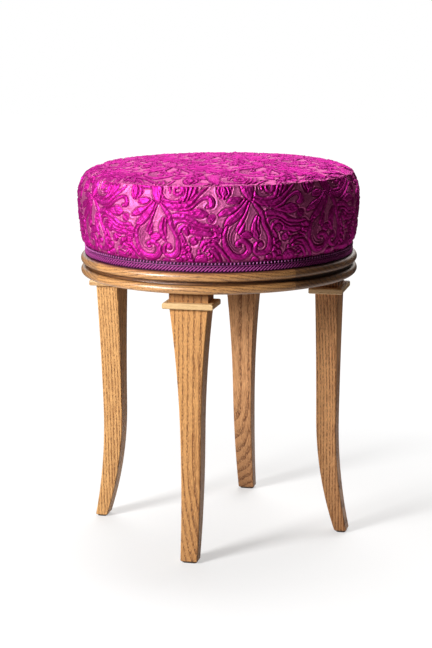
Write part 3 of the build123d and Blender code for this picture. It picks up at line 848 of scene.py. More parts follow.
def seam_crispness(turn):
    """1 at the front right, where the seam is pulled sharpest, falling to 0 at the back left."""
    return (0.5 + 0.5 * np.cos(turn - CRISP_AZIMUTH)) ** 2


def tuck_at_seam(turn, distance):
    """How far the cloth is drawn in at the seam: a fine line where it is crisp, a round edge elsewhere."""
    crisp = seam_crispness(turn)
    share = SOFT_TUCK_SHARE + (1 - SOFT_TUCK_SHARE) * crisp
    line = SEAM_TUCK * share * np.exp(-((distance / SEAM_TUCK) ** 2))
    return line + SOFT_EDGE * (1 - crisp) * np.clip(1 - distance / SOFT_REACH, 0, 1) ** 2


def store_brocade(piece, raised, shaded_crease, lines):
    """Keep what the brocade's material reads, with nothing on the hidden side of the cloth."""
    blank = np.zeros(len(piece.data.vertices) - raised.size)
    for name, field in (("raised", raised), ("shaded_crease", shaded_crease), ("rib_place", lines)):
        store(piece, name, np.concatenate([field.ravel(), blank]))


def band_inside(curve, length):
    """Hidden part of the band's section: down its inside, then round its foot under the braid."""
    inner_foot = COVER_FOOT_RADIUS - COVER_THICKNESS
    foot = [
        (inner_foot, RING_TOP),
        (inner_foot, COVER_BOTTOM),
        (COVER_FOOT_RADIUS, COVER_BOTTOM),
        (COVER_FOOT_RADIUS, RING_TOP),
    ]
    lining = evenly(curve, np.linspace(length, 0, LINING_ROWS))[0] - (LINING_DEPTH, 0)
    return np.concatenate([lining, foot])


def cover_band(material):
    """Band of brocade round the side, embossed, turned in under the braid and at the seam."""
    curve = band_curve()
    length = curve_length(curve)
    along = np.linspace(0, length, int(length / (BAND_ROW_STEP * MM)) + 1)
    places, run = evenly(curve, along)
    angle = full_turn(BAND_COLUMNS)
    turn, rise = np.meshgrid(angle, along / MM)
    tile = REPEAT_WIDTH * REPEATS_ROUND / (2 * math.pi)
    across = (turn - TEARDROP_ANGLE) * tile
    askew = REPEAT_DROP - REPEAT_SKEW * np.sin(turn - VIEW_AZIMUTH)
    fields = embossed(across, rise + askew)
    off_foot = np.clip((rise - FOOT_FADE_FROM) / FOOT_FADE, 0, 1)
    fade = np.clip((length / MM - rise) / SEAM_FADE, 0, 1) * off_foot
    folds = np.sin(PUCKER_FOLDS * turn + PUCKER_DRIFT * np.sin(PUCKER_DRIFT_WAVES * turn))
    pucker = PUCKER_SIZE * np.exp(-rise / PUCKER_REACH) * folds
    stand = ((fields["height"] - GROUND_SINK) * fade + pad_wave(turn, rise) + pucker) * MM
    stand -= tuck_at_seam(turn, length - rise * MM)
    stand -= FOOT_TUCK * np.exp(-((rise / FOOT_REACH) ** 2))
    shoulder = np.clip((places[:, 1] - WIDEST[1]) / (SEAM[1] - WIDEST[1]), 0, 1)[:, None]
    pull = seam_crispness(turn) * shoulder**2
    radius = places[:, 0, None] + stand * run[:, 1, None] + SEAM_DRIFT * pull
    level = places[:, 1, None] - stand * run[:, 0, None] + SEAM_RISE * pull
    inside = band_inside(curve, length)
    radius = np.concatenate([radius, np.repeat(inside[:, :1], BAND_COLUMNS, 1)])
    level = np.concatenate([level, np.repeat(inside[:, 1:], BAND_COLUMNS, 1)])
    faces = grid_faces(len(radius), BAND_COLUMNS, close_rows=True)
    points = about_axis(radius, angle, level)
    piece = new_piece("cover_band_brocade", "cover_band", points, faces, [material])
    # Painted shade: the shade of the creases, and a dark band at the cloth's foot just above the braid.
    shaded_crease = np.maximum(fields["shaded_crease"] * fade, np.exp(-((rise / EDGE_SHADE) ** 2)))
    store_brocade(piece, fields["tone"], shaded_crease, thread_lines(fields, across))


def disc_places(divisions):
    """Evenly spread places on a disc of radius 1, stored as a square grid bent to a circle."""
    side = np.linspace(-1, 1, divisions + 1)
    right, ahead = np.meshgrid(side, side)
    wide = np.abs(right) > np.abs(ahead)
    longer = np.where(wide, right, ahead)
    shorter = np.where(wide, ahead, right)
    quarter = np.divide(shorter, longer, out=np.zeros_like(shorter), where=longer != 0) * math.pi / 4
    first = longer * np.cos(quarter)
    second = longer * np.sin(quarter)
    return np.where(wide, first, second), np.where(wide, second, first)


def rim_order(divisions):
    """Points on the edge of the square grid, once round."""
    side = divisions + 1
    index = np.arange(side * side).reshape(side, side)
    return np.concatenate([index[0, :-1], index[:-1, -1], index[-1, :0:-1], index[:0:-1, 0]])


def top_inside(places, rim, rim_turn, first):
    """Hidden side of the top panel, in rings from its rim to a point on the axis: points and faces."""
    levels = np.interp(LINING_RADII, places[:, 0], places[:, 1]) - LINING_DEPTH
    rings = about_axis(LINING_RADII[:, None], rim_turn, levels[:, None])
    centre = first + len(rings)
    loops = [rim, *np.arange(first, centre).reshape(len(LINING_RADII), len(rim))]
    faces = []
    for upper, lower in zip(loops, loops[1:]):
        faces += np.stack([np.roll(upper, -1), upper, lower, np.roll(lower, -1)], 1).tolist()
    inmost = loops[-1].tolist()
    faces += [(after, before, centre) for before, after in zip(inmost, inmost[1:] + inmost[:1])]
    return np.concatenate([rings, [(0, 0, levels[-1])]]), faces


def cover_top(material):
    """Round top panel of brocade, embossed, crowned, and tucked in at the seam."""
    curve = top_curve()
    length = curve_length(curve)
    right, ahead = disc_places(TOP_DIVISIONS)
    reach = np.hypot(right, ahead)
    turn = np.arctan2(right, -ahead)
    along = reach * length
    to_seam = length - along
    table = np.linspace(0, length, TABLE_POINTS)
    places, run = evenly(curve, table)
    radius, level, lean, upright = [
        np.interp(along, table, column) for column in (places[:, 0], places[:, 1], -run[:, 1], run[:, 0])
    ]
    across = along * np.sin(turn - VIEW_AZIMUTH) / MM
    up = -along * np.cos(turn - VIEW_AZIMUTH) / MM + TOP_REPEAT_SHIFT
    fields = embossed(across, up)
    fade = np.clip(to_seam / MM / SEAM_FADE, 0, 1)
    swell = pad_wave(turn, reach * TOP_WAVE_LEVEL) * reach
    stand = ((fields["height"] - GROUND_SINK) * fade + swell) * MM - tuck_at_seam(turn, to_seam)
    crisp = seam_crispness(turn)
    radius = radius + stand * lean + SEAM_DRIFT * crisp * reach**DRIFT_POWER
    level = level + stand * upright + SEAM_RISE * crisp * reach**RISE_POWER
    outside = about_axis(radius, turn, level)
    rim = rim_order(TOP_DIVISIONS)
    inside, inside_faces = top_inside(places, rim, turn.ravel()[rim], len(outside))
    faces = grid_faces(TOP_DIVISIONS + 1, TOP_DIVISIONS + 1, close_columns=False).tolist() + inside_faces
    points = np.concatenate([outside, inside])
    piece = new_piece("cover_top_brocade", "cover_top", points, faces, [material])
    # Painted highlight: a pale strip along the seam where it is crisp, made by taking out the raised colour
    # and the shade of the creases there.
    outside_seam_highlight = 1 - np.exp(-((to_seam / SEAM_HIGHLIGHT_STRIP) ** 2)) * crisp
    lines = thread_lines(fields, across)
    store_brocade(piece, fields["tone"] * outside_seam_highlight, fields["shaded_crease"] * outside_seam_highlight, lines)


BROCADE_GROUND = (0.64, 0.145, 0.375, 1)
BROCADE_GROUND_RIB = (0.525, 0.058, 0.262, 1)
BROCADE_RAISED = (0.515, 0.011, 0.268, 1)
BROCADE_SATIN = (0.675, 0.042, 0.42, 1)
# Painted shade for the creases round the strokes and the valleys of their ridges.
BROCADE_CREASE_SHADE = (0.17, 0.0008, 0.075, 1)
GROUND_RIB_PITCH = 1.3
SATIN_THREAD_PITCH = 1.7
SILK_FINENESS = 1400.0
SILK_CLOUD_FINENESS = 110.0
SILK_PUCKER_FINENESS = 240.0
SILK_TINT = (1.0, 0.6, 0.9, 1)


def brocade():
    """Embossed silk brocade: paler ribbed ground, saturated satin scrolls, and painted shade darkening the
    creases.
    """
    material, tree, shader, place = new_material("brocade")
    raised, shaded_crease, lines = [stored(tree, name) for name in ("raised", "shaded_crease", "rib_place")]
    rib, satin_thread = [
        spread(tree, maths(tree, "SINE", maths(tree, "MULTIPLY", lines, 2 * math.pi / pitch)), -1.0, 1.0)
        for pitch in (GROUND_RIB_PITCH, SATIN_THREAD_PITCH)
    ]
    fine = noise(tree, place, SILK_FINENESS, 1.0)
    cloud = spread(tree, noise(tree, place, SILK_CLOUD_FINENESS), 0.35, 0.7)
    pucker = spread(tree, noise(tree, place, SILK_PUCKER_FINENESS, 3.0), 0.3, 0.7)
    ground = mix(tree, maths(tree, "MULTIPLY", rib, fine), BROCADE_GROUND, BROCADE_GROUND_RIB)
    glow = maths(tree, "MULTIPLY", spread(tree, satin_thread, 0.3, 1.0, 0.25, 1.0), cloud)
    satin = mix(tree, glow, BROCADE_RAISED, BROCADE_SATIN)
    colour = mix(tree, spread(tree, raised, 0.2, 0.8), ground, satin)
    # Painted shade in the creases, varied by the pucker.
    crease_shade = maths(tree, "MULTIPLY", shaded_crease, spread(tree, pucker, 0.0, 1.0, 1.05, 0.75))
    colour = mix(tree, spread(tree, crease_shade, 0.2, 0.95, 0.0, 0.8), colour, BROCADE_CREASE_SHADE)
    grain = maths(tree, "MULTIPLY", mix(tree, raised, rib, satin_thread), 0.13)
    for part, amount in ((fine, 0.17), (pucker, 0.45)):
        grain = maths(tree, "ADD", grain, maths(tree, "MULTIPLY", part, amount))
    wire(
        shader,
        Base_Color=colour,
        Metallic=0.85,
        Roughness=spread(tree, raised, 0.0, 1.0, 0.56, 0.54),
        Normal=bump(tree, grain, 1 * MM, 0.8),
        Specular_IOR_Level=0.3,
        Specular_Tint=SILK_TINT,
    )
    return material


# Layers inside the seat

WADDING_INSET = 6 * MM
WADDING_THICKNESS = 3.2 * MM
STUFFING_INSET = 10.2 * MM
LAYER_GAP = 0.3 * MM
LAYER_COLUMNS = 180
LAYER_ROWS = 60
OUTLINE_POINTS = 240
WADDING_LUMPS = 0.4 * MM
WADDING_SEED = 3
STUFFING_LUMPS = 0.6 * MM
STUFFING_SEED = 8
LUMP_WAVES = 5


def layer_section(inset, bottom):
    """Section of the pad at some depth under the cover, from the crown out and down to a level."""
    outline = np.concatenate([top_curve(), band_curve()[::-1][1:]])
    places, run = evenly(outline, np.linspace(0, curve_length(outline), OUTLINE_POINTS))
    deeper = places - inset * np.stack([-run[:, 1], run[:, 0]], 1)
    deeper = deeper[deeper[:, 1] > bottom]
    deeper[0, 0] = LAYER_GAP
    section = np.concatenate([deeper, [(deeper[-1, 0], bottom)]])
    return evenly(section, np.linspace(0, curve_length(deeper), LAYER_ROWS))[0]


def lumps(depth, seed):
    """Soft unevenness of a layer: the same each time."""
    level = np.linspace(0, 1, LAYER_ROWS)[:, None]
    angle = full_turn(LAYER_COLUMNS)
    waves = np.random.default_rng(seed).uniform(0, 2 * math.pi, (LUMP_WAVES, 2))
    total = sum(
        np.sin((2 + 3 * number) * angle + turn) * np.sin((3 + 2 * number) * math.pi * level + rise)
        for number, (turn, rise) in enumerate(waves)
    )
    return depth * total * np.sin(math.pi * level) ** 0.5 / LUMP_WAVES


def wadding(material):
    """Sheet of cotton wadding over the stuffing, open underneath."""
    bottom = PAD_BASE + LAYER_GAP
    outer = layer_section(WADDING_INSET, bottom)
    inner = layer_section(WADDING_INSET + WADDING_THICKNESS, bottom)[::-1]
    section = np.concatenate([outer, inner])
    radius = np.repeat(section[:, :1], LAYER_COLUMNS, 1)
    radius[:LAYER_ROWS] += lumps(WADDING_LUMPS, WADDING_SEED)
    points, faces = turned_solid(np.abs(radius), section[:, 1:], LAYER_COLUMNS)
    piece = new_piece("wadding_sheet", "wadding", points, faces, [material])


def stuffing(material):
    """Mound of curled hair stuffing on the hessian."""
    section = layer_section(STUFFING_INSET, HESSIAN_TOP)
    radius = np.abs(section[:, :1] + lumps(STUFFING_LUMPS, STUFFING_SEED))
    radius = np.concatenate([radius, np.full((1, LAYER_COLUMNS), LAYER_GAP)])
    level = np.concatenate([section[:, 1:], [[HESSIAN_TOP]]])
    points, faces = turned_solid(radius, level, LAYER_COLUMNS)
    piece = new_piece("stuffing_mound", "stuffing", points, faces, [material])


def plain_weave_group():
    """Threads over and under: a height, a shade and the holes, from a place counted in threads."""
    group, given, out = new_group(
        "plain_weave", [("Threads", PLACE)], [("Height", NUMBER), ("Shade", NUMBER), ("Gap", NUMBER)]
    )
    parts = add(group, "ShaderNodeSeparateXYZ", {0: given["Threads"]}).outputs
    warp, weft = [
        maths(group, "ABSOLUTE", maths(group, "SINE", maths(group, "MULTIPLY", parts[axis], math.pi)))
        for axis in ("X", "Y")
    ]
    over = add(group, "ShaderNodeTexChecker", {"Vector": given["Threads"], "Scale": 1.0}).outputs["Fac"]
    upper = add(group, "ShaderNodeMix", {0: over, 2: weft, 3: warp}).outputs[0]
    lower = add(group, "ShaderNodeMix", {0: over, 2: warp, 3: weft}).outputs[0]
    height = maths(group, "MULTIPLY", upper, spread(group, lower, 0.0, 1.0, 0.35, 1.0))
    yarn = noise(group, scaled(group, given["Threads"], (0.16, 0.16, 1)), 3.0, 4.0)
    wire(out, Height=height, Shade=yarn, Gap=spread(group, height, 0.3, 0.12))
    return group


def matted_fibre_group():
    """Matted fibre: a height and a shade, from a place counted in fibres."""
    group, given, out = new_group(
        "matted_fibre", [("Fibres", PLACE)], [("Height", NUMBER), ("Shade", NUMBER)]
    )
    strands = add(
        group,
        "ShaderNodeTexNoise",
        {"Vector": given["Fibres"], "Scale": 1.0, "Detail": 4.0, "Distortion": 3.5},
    ).outputs["Fac"]
    tuft = noise(group, given["Fibres"], 0.14)
    wire(out, Height=spread(group, strands, 0.3, 0.7), Shade=spread(group, tuft, 0.3, 0.7))
    return group


PLAIN_WEAVE = plain_weave_group()
MATTED_FIBRE = matted_fibre_group()
FIBRES = {
    "cotton_wadding": (900, (0.80, 0.78, 0.72, 1), (0.62, 0.59, 0.52, 1), 0.8 * MM),
    "curled_hair": (700, (0.20, 0.14, 0.09, 1), (0.07, 0.045, 0.03, 1), 1.5 * MM),
    "brown_felt": (2200, (0.085, 0.06, 0.045, 1), (0.04, 0.027, 0.02, 1), 0.3 * MM),
}
JUTE_TONES = ((0.42, 0.30, 0.17, 1), (0.27, 0.175, 0.085, 1), (0.09, 0.055, 0.026, 1))
JUTE_STRIPE = (0.06, 0.03, 0.018, 1)
STRIPE_SHARE = 0.75
JUTE_THREADS = (700, 480, 1)
STRIPE_MIDDLE = 18 * MM
STRIPE_OFFSET = 2 * MM
STRIPE_HALF = 0.8 * MM
HESSIAN_TONES = ((0.50, 0.37, 0.22, 1), (0.33, 0.225, 0.12, 1), (0.05, 0.03, 0.015, 1))
HESSIAN_THREADS = (520, 520, 0)
HESSIAN_START = (0.3, 0.2, 0.5)


def fibre_finish(name):
    """A fibrous finish: felt, cotton wadding or hair, told apart by its fineness, colours and depth."""
    fineness, pale, dark, depth = FIBRES[name]
    material, tree, shader, place = new_material(name)
    fibre = grouped(tree, MATTED_FIBRE, {"Fibres": scaled(tree, place, (fineness, fineness, fineness))})
    mixed = mix(tree, fibre["Shade"], pale, dark)
    wire(
        shader,
        Base_Color=mix(tree, maths(tree, "MULTIPLY", fibre["Height"], 0.5), mixed, dark),
        Roughness=spread(tree, fibre["Height"], 0.0, 1.0, 0.82, 0.98),
        Normal=bump(tree, fibre["Height"], depth),
        Specular_IOR_Level=0.15,
        Sheen_Weight=0.3,
    )
    return material


def woven_finish(parts, threads, tones, hole_share, roughness, depth, gloss, stripe=None):
    """A plain weave: yarn of two colours, an optional stripe, and dark holes between the threads."""
    material, tree, shader = parts
    pale, dark, hole = tones
    weave = grouped(tree, PLAIN_WEAVE, {"Threads": threads})
    colour = mix(tree, weave["Shade"], pale, dark)
    if stripe is not None:
        colour = mix(tree, maths(tree, "MULTIPLY", stripe, STRIPE_SHARE), colour, JUTE_STRIPE)
    wire(
        shader,
        Base_Color=mix(tree, maths(tree, "MULTIPLY", weave["Gap"], hole_share), colour, hole),
        Roughness=spread(tree, weave["Shade"], 0.3, 0.7, *roughness),
        Normal=bump(tree, weave["Height"], depth),
        Specular_IOR_Level=gloss,
    )
    return material


def jute():
    """Jute webbing: a close weave with two dark lines near each edge."""
    *parts, _ = new_material("jute_webbing")
    tree = parts[1]
    across = stored(tree, "across")
    along = stored(tree, "along")
    threads = add(tree, "ShaderNodeCombineXYZ", {"X": across, "Y": along, "Z": 0.5}).outputs[0]
    off_middle = maths(tree, "ABSOLUTE", across)
    for distance in (STRIPE_MIDDLE, STRIPE_OFFSET):
        off_middle = maths(tree, "ABSOLUTE", maths(tree, "SUBTRACT", off_middle, distance))
    stripe = maths(tree, "LESS_THAN", off_middle, STRIPE_HALF)
    threads = scaled(tree, threads, JUTE_THREADS)
    return woven_finish(
        parts,
        threads,
        JUTE_TONES,
        hole_share=0.7,
        roughness=(0.75, 0.95),
        depth=0.5 * MM,
        gloss=0.2,
        stripe=stripe,
    )


def hessian_cloth():
    """Hessian: a coarse open weave of tan jute."""
    *parts, place = new_material("hessian_cloth")
    tree = parts[1]
    threads = vector_maths(tree, "ADD", scaled(tree, place, HESSIAN_THREADS), HESSIAN_START)
    return woven_finish(
        parts,
        threads,
        HESSIAN_TONES,
        hole_share=0.85,
        roughness=(0.8, 0.97),
        depth=0.6 * MM,
        gloss=0.15,
    )


# Webbing and hessian under the seat

STRAP_THICKNESS = 1.6 * MM
STRAP_STEP = 2 * MM
STRAP_ROWS = (-1, 0, 1)
STRAP_SECTION_POINTS = 27
SELVEDGE_THINNING = 0.55
SELVEDGE_POWER = 14
HESSIAN_ROWS = 70
HESSIAN_SAG = 0.6 * MM
HESSIAN_HELD = 20 * MM
HESSIAN_RAMP = 8 * MM
FELT_SIDES = 48
FELT_SQUARENESS = 5
FELT_SECTION = ((0.0, 0.5), (0.25, 0.12), (0.7, 0.0), (1.4, 0.0), (1.8, 0.12), (2.0, 0.4))


def strap_levels(along, row, half_width, low, over):
    """Level of the middle of a strap along its length, as it goes over and under those that cross it."""
    levels = np.full(len(along), low)
    for crossing_row in STRAP_ROWS:
        if (crossing_row + row) % 2 == over:
            distance = np.abs(along - crossing_row * STRAP_PITCH) - half_width
            climb = 1 - np.clip(distance / (STRAP_PITCH - 2 * half_width), 0, 1)
            levels = np.maximum(levels, low + CROSSING_STEP * climb**2 * (3 - 2 * climb))
    return levels


def webbing_strap(name, row, over, turned, material):
    """One strap of webbing, woven through those that cross it, with a rolled selvedge at each side."""
    low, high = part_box(name)
    width, length = (high.x - low.x, high.y - low.y) if turned else (high.y - low.y, high.x - low.x)
    middle = (low + high) / 2
    along = np.linspace(-length / 2, length / 2, int(length / STRAP_STEP) + 1)
    levels = strap_levels(along, row, width / 2, low.z + STRAP_THICKNESS / 2, over)
    share = np.linspace(-1, 1, STRAP_SECTION_POINTS)
    edge = STRAP_THICKNESS / 2 * (1 - SELVEDGE_THINNING * np.abs(share) ** SELVEDGE_POWER)
    section = np.concatenate([share, share[::-1]]) * width / 2
    places, across = np.meshgrid(along, section, indexing="ij")
    rise = levels[:, None] + np.concatenate([edge, -edge[::-1]])
    if turned:
        points = np.stack([middle.x - across, places, rise], -1)
    else:
        points = np.stack([places, middle.y + across, rise], -1)
    faces = tube_faces(len(along), len(section), flipped=True)
    piece = new_piece(f"{name}_strap", name, points.reshape(-1, 3), faces, [material])
    store(piece, "across", across)
    store(piece, "along", places)


def hessian_disc(material):
    """Round of hessian over the webbing, sagging a little where the straps leave it open."""
    low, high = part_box("hessian")
    reach = np.linspace(LAYER_GAP, high.x, HESSIAN_ROWS)[:, None]
    angle = full_turn(LAYER_COLUMNS)
    off_straps = [
        np.abs((place + STRAP_PITCH / 2) % STRAP_PITCH - STRAP_PITCH / 2)
        for place in (reach * np.sin(angle), reach * np.cos(angle))
    ]
    open_share = np.clip((np.minimum(*off_straps) - HESSIAN_HELD) / HESSIAN_RAMP, 0, 1)
    under = low.z - HESSIAN_SAG * open_share
    radius = np.concatenate([reach, reach[::-1]])
    level = np.concatenate([under + (high.z - low.z), under[::-1]])
    points, faces = turned_solid(radius, level, LAYER_COLUMNS)
    piece = new_piece("hessian_round", "hessian", points, faces, [material])


def felt_pad(side, material):
    """Felt pad under one foot, with a soft rolled edge, from a section of rise and inset in millimetres."""
    node = f"felt_pad_{side}"
    low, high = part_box(node)
    middle = (low + high) / 2
    half = (high - low) / 2
    angle = full_turn(FELT_SIDES)
    right, ahead = np.cos(angle), np.sin(angle)
    power = FELT_SQUARENESS
    squared = (np.abs(right) ** power + np.abs(ahead) ** power) ** (-1 / power)
    rings = []
    for rise, inset in FELT_SECTION:
        ring_x = middle.x + (half.x - inset * MM) * right * squared
        ring_y = middle.y + (half.y - inset * MM) * ahead * squared
        rings.append(np.stack([ring_x, ring_y, np.full(FELT_SIDES, low.z + rise * MM)], -1))
    faces = tube_faces(len(rings), FELT_SIDES)
    piece = new_piece(f"{node}_cut", node, np.concatenate(rings), faces, [material])


# Braid over the edge of the cover

TAPE_RADIUS = BRAID_OUTER - 1.9 * MM
TAPE_THICKNESS = 0.9 * MM
# The near-black tape rises above the braid so that it shows between the stitches: painted shade in the gaps
# between them.
SHADE_TAPE_RISE = 1.2 * MM
TAPE_COLUMNS = 360
YARN_HALF_WIDTH = 0.95 * MM
YARN_DEPTH = 1.0 * MM
YARN_FLATNESS = 4
YARN_END = 0.06
YARN_POINTS = 9
YARN_SIDES = 6
THREAD_COUNT = 240
THREAD_TILT = math.radians(36)
THREAD_HALF_LENGTH = 4.9 * MM
THREAD_STAND = 0.3 * MM
THREAD_LEVEL = BRAID_BOTTOM + 4.1 * MM
CORD_SEGMENTS = 2160
CORD_TWISTS = 270
CORD_SIDES = 8
CORD_SWELL = 0.18
LOWER_CORD = (0.2 * MM, BRAID_BOTTOM + 0.6 * MM, 0.6 * MM)
UPPER_CORD = (0.4 * MM, BRAID_BOTTOM + 7.9 * MM, 0.5 * MM)
STITCH_COUNT = 236
STITCH_HALF_RUN = np.array([0.5 * MM, 1.3 * MM])
STITCH_STAND = 0.5 * MM
STITCH_LEVEL = BRAID_TOP - 0.3 * MM
# Finish of each part: tape, threads, lower cord, upper cord, stitches. The lower cord takes the near-black
# tape finish as a painted shadow line under the braid.
BRAID_FINISHES = (0, 1, 0, 1, 2)
TWIST_FINENESS = 2600.0
WORN_FINENESS = 160.0
BRAID_TONES = {
    # Near-black tape: partly the braid's own tape, partly painted shade behind and between the stitches.
    "tape": ((0.05, 0.003, 0.04, 1), (0.022, 0.001, 0.018, 1)),
    "thread": ((0.47, 0.072, 0.34, 1), (0.245, 0.024, 0.165, 1)),
    "stitch": ((0.52, 0.15, 0.44, 1), (0.30, 0.06, 0.24, 1)),
}


def flat_tube(path, half_widths):
    """Closed yarn along a path on the face of the braid, as places along, up and out, with its faces."""
    run = np.gradient(path, axis=0)
    run /= np.linalg.norm(run, axis=1)[:, None]
    angle = full_turn(YARN_SIDES)
    sideways = np.stack([-run[:, 1], run[:, 0]], 1)[:, None, :]
    flat = path[:, None, :] + sideways * np.outer(half_widths, np.cos(angle))[..., None]
    out = np.outer(half_widths / half_widths.max(), np.sin(angle)) * YARN_DEPTH
    points = np.concatenate([flat, out[..., None]], -1).reshape(-1, 3)
    return points, tube_faces(len(path), YARN_SIDES)


def round_row(form, count, radius, level):
    """Copies of a small form set round the axis."""
    places, faces = form
    turn = full_turn(count)[:, None] + places[:, 0] / radius
    points = about_axis(radius + places[:, 2], turn, level + places[:, 1])
    copies = [[copy * len(places) + corner for corner in face] for copy in range(count) for face in faces]
    return points, copies


def twisted_cord(stand, level, thickness):
    """Cord of two strands twisted together, closed round the axis, on the face of the tape."""
    turn = full_turn(CORD_SEGMENTS)[:, None]
    around = full_turn(CORD_SIDES)
    swell = thickness * (1 - CORD_SWELL + CORD_SWELL * np.cos(2 * around - CORD_TWISTS * turn))
    reach = TAPE_RADIUS + TAPE_THICKNESS + stand + swell * np.cos(around)
    points = about_axis(reach, turn, level + swell * np.sin(around))
    return points, grid_faces(CORD_SEGMENTS, CORD_SIDES, close_rows=True)[:, ::-1].tolist()


def gimp_braid(finishes):
    """Braid glued over the edge of the cover: tape, slanted threads, corded edges and a row of stitches."""
    face_radius = TAPE_RADIUS + TAPE_THICKNESS
    shade_tape_top = BRAID_TOP + SHADE_TAPE_RISE
    tape_radius = np.array([TAPE_RADIUS, face_radius, face_radius, TAPE_RADIUS])[:, None]
    tape_level = np.array([BRAID_BOTTOM, BRAID_BOTTOM, shade_tape_top, shade_tape_top])[:, None]
    tape_points = about_axis(tape_radius, full_turn(TAPE_COLUMNS), tape_level)
    tape = (tape_points, grid_faces(len(tape_radius), TAPE_COLUMNS, close_rows=True).tolist())
    share = np.linspace(-1, 1, YARN_POINTS)
    plump = YARN_HALF_WIDTH * np.sqrt(np.clip(1 - share**YARN_FLATNESS, YARN_END, 1))
    thread_half_run = THREAD_HALF_LENGTH * np.array([math.cos(THREAD_TILT), math.sin(THREAD_TILT)])
    thread, stitch = [
        flat_tube(share[:, None] * half_run, plump) for half_run in (thread_half_run, STITCH_HALF_RUN)
    ]
    points, faces, origins = joined(
        [
            tape,
            round_row(thread, THREAD_COUNT, face_radius + THREAD_STAND, THREAD_LEVEL),
            twisted_cord(*LOWER_CORD),
            twisted_cord(*UPPER_CORD),
            round_row(stitch, STITCH_COUNT, face_radius + STITCH_STAND, STITCH_LEVEL),
        ]
    )
    part_finishes = [BRAID_FINISHES[part] for part in origins]
    new_piece("gimp_braid", "gimp", points, faces, finishes, part_finishes)


def braid_yarn(part):
    """Mercerised yarn for one part of the braid, with fine twist and worn tops."""
    bright, deep = BRAID_TONES[part]
    material, tree, shader, place = new_material(f"gimp_{part}")
    twist = noise(tree, place, TWIST_FINENESS, 2.0)
    worn = spread(tree, noise(tree, place, WORN_FINENESS), 0.35, 0.7)
    shade = mix(tree, spread(tree, twist, 0.35, 0.65), bright, deep)
    wire(
        shader,
        Base_Color=mix(tree, maths(tree, "MULTIPLY", worn, 0.35), shade, bright),
        Roughness=spread(tree, twist, 0.3, 0.7, 0.45, 0.65),
        Normal=bump(tree, twist, 0.15 * MM),
        Metallic=0.2,
        Specular_IOR_Level=0.25,
    )
    return material


# Stage, light and camera

LIGHT_AIM = Vector((0, 0, 0.3))
KEY_AZIMUTH = math.radians(-37)
KEY_ELEVATION = math.radians(20)
KEY_DISTANCE = 1.6
KEY_SIZE = 0.5
KEY_POWER = 37.5
OVERHEAD_AZIMUTH = math.radians(173)
OVERHEAD_ELEVATION = math.radians(64)
OVERHEAD_STRENGTH = 1.6
OVERHEAD_SOFTNESS = math.radians(40)
OVERHEAD_DISTANCE = 2.0
SURROUND_FILL = 0.035
SURROUND_GLOSS = 0.05
SURROUND_TINT = (1.0, 0.84, 0.7, 1)
WHITE = (1, 1, 1, 1)
BACKDROP_GLOW = 1.7
BACKDROP_ELEVATION = math.radians(33)
BACKDROP_REACH = (math.cos(math.radians(38)), math.cos(math.radians(14)))
FLOOR_HALF = 6.0
FLOOR_GLOW = 1.06
FLOOR_PAINT = (0.8, 0.8, 0.8, 1)
FLOOR_BOUNCE_NEAR = (0.5, 0.47, 0.45, 1)
FLOOR_BOUNCE_FAR = (0.08, 0.07, 0.07, 1)
FLOOR_BOUNCE_REACH = (0.45, 1.2)
FLOOR_WHITENING = (0.25, 0.65, 0.45, 1.0)
FLOOR_MIRRORING = (0.35, 0.8, 0.35, 0.0)
CAMERA_CLIP = 50.0


def floor_finish():
    """Pale paint that glows out to white away from the stool, and isn't seen from below."""
    material = bpy.data.materials.new("floor")
    material.use_nodes = True
    tree = material.node_tree
    tree.nodes.clear()
    distance = vector_maths(tree, "LENGTH", add(tree, "ShaderNodeTexCoord").outputs["Object"])
    path = add(tree, "ShaderNodeLightPath").outputs
    seen = path["Is Camera Ray"]
    bounce = mix(tree, spread(tree, distance, *FLOOR_BOUNCE_REACH), FLOOR_BOUNCE_NEAR, FLOOR_BOUNCE_FAR)
    paint_tone = mix(tree, seen, bounce, FLOOR_PAINT)
    paint = add(tree, "ShaderNodeBsdfDiffuse", {"Color": paint_tone}).outputs[0]
    glow = add(tree, "ShaderNodeEmission", {"Color": WHITE, "Strength": FLOOR_GLOW}).outputs[0]
    whitened = maths(tree, "MULTIPLY", spread(tree, distance, *FLOOR_WHITENING), seen)
    mirrored = maths(tree, "MULTIPLY", path["Is Glossy Ray"], spread(tree, distance, *FLOOR_MIRRORING))
    share = maths(tree, "MAXIMUM", whitened, mirrored)
    lit = add(tree, "ShaderNodeMixShader", {0: share, 1: paint, 2: glow}).outputs[0]
    clear = add(tree, "ShaderNodeBsdfTransparent").outputs[0]
    below = maths(tree, "MULTIPLY", add(tree, "ShaderNodeNewGeometry").outputs["Backfacing"], seen)
    shown = add(tree, "ShaderNodeMixShader", {0: below, 1: lit, 2: clear}).outputs[0]
    add(tree, "ShaderNodeOutputMaterial", {"Surface": shown})
    return material


def studio_floor():
    """Plain pale floor, shaded by the stool, that runs out to white."""
    mesh = bpy.data.meshes.new("floor")
    corners = [(x * FLOOR_HALF, y * FLOOR_HALF, 0) for x, y in ((-1, -1), (1, -1), (1, 1), (-1, 1))]
    mesh.from_pydata(corners, [], [(0, 1, 2, 3)])
    mesh.materials.append(floor_finish())
    floor = bpy.data.objects.new("floor", mesh)
    bpy.context.scene.collection.objects.link(floor)


def direction(azimuth, elevation):
    """Direction away from the stool, at an azimuth counted from the front and an elevation."""
    flat = math.cos(elevation)
    return Vector((math.sin(azimuth) * flat, -math.cos(azimuth) * flat, math.sin(elevation)))


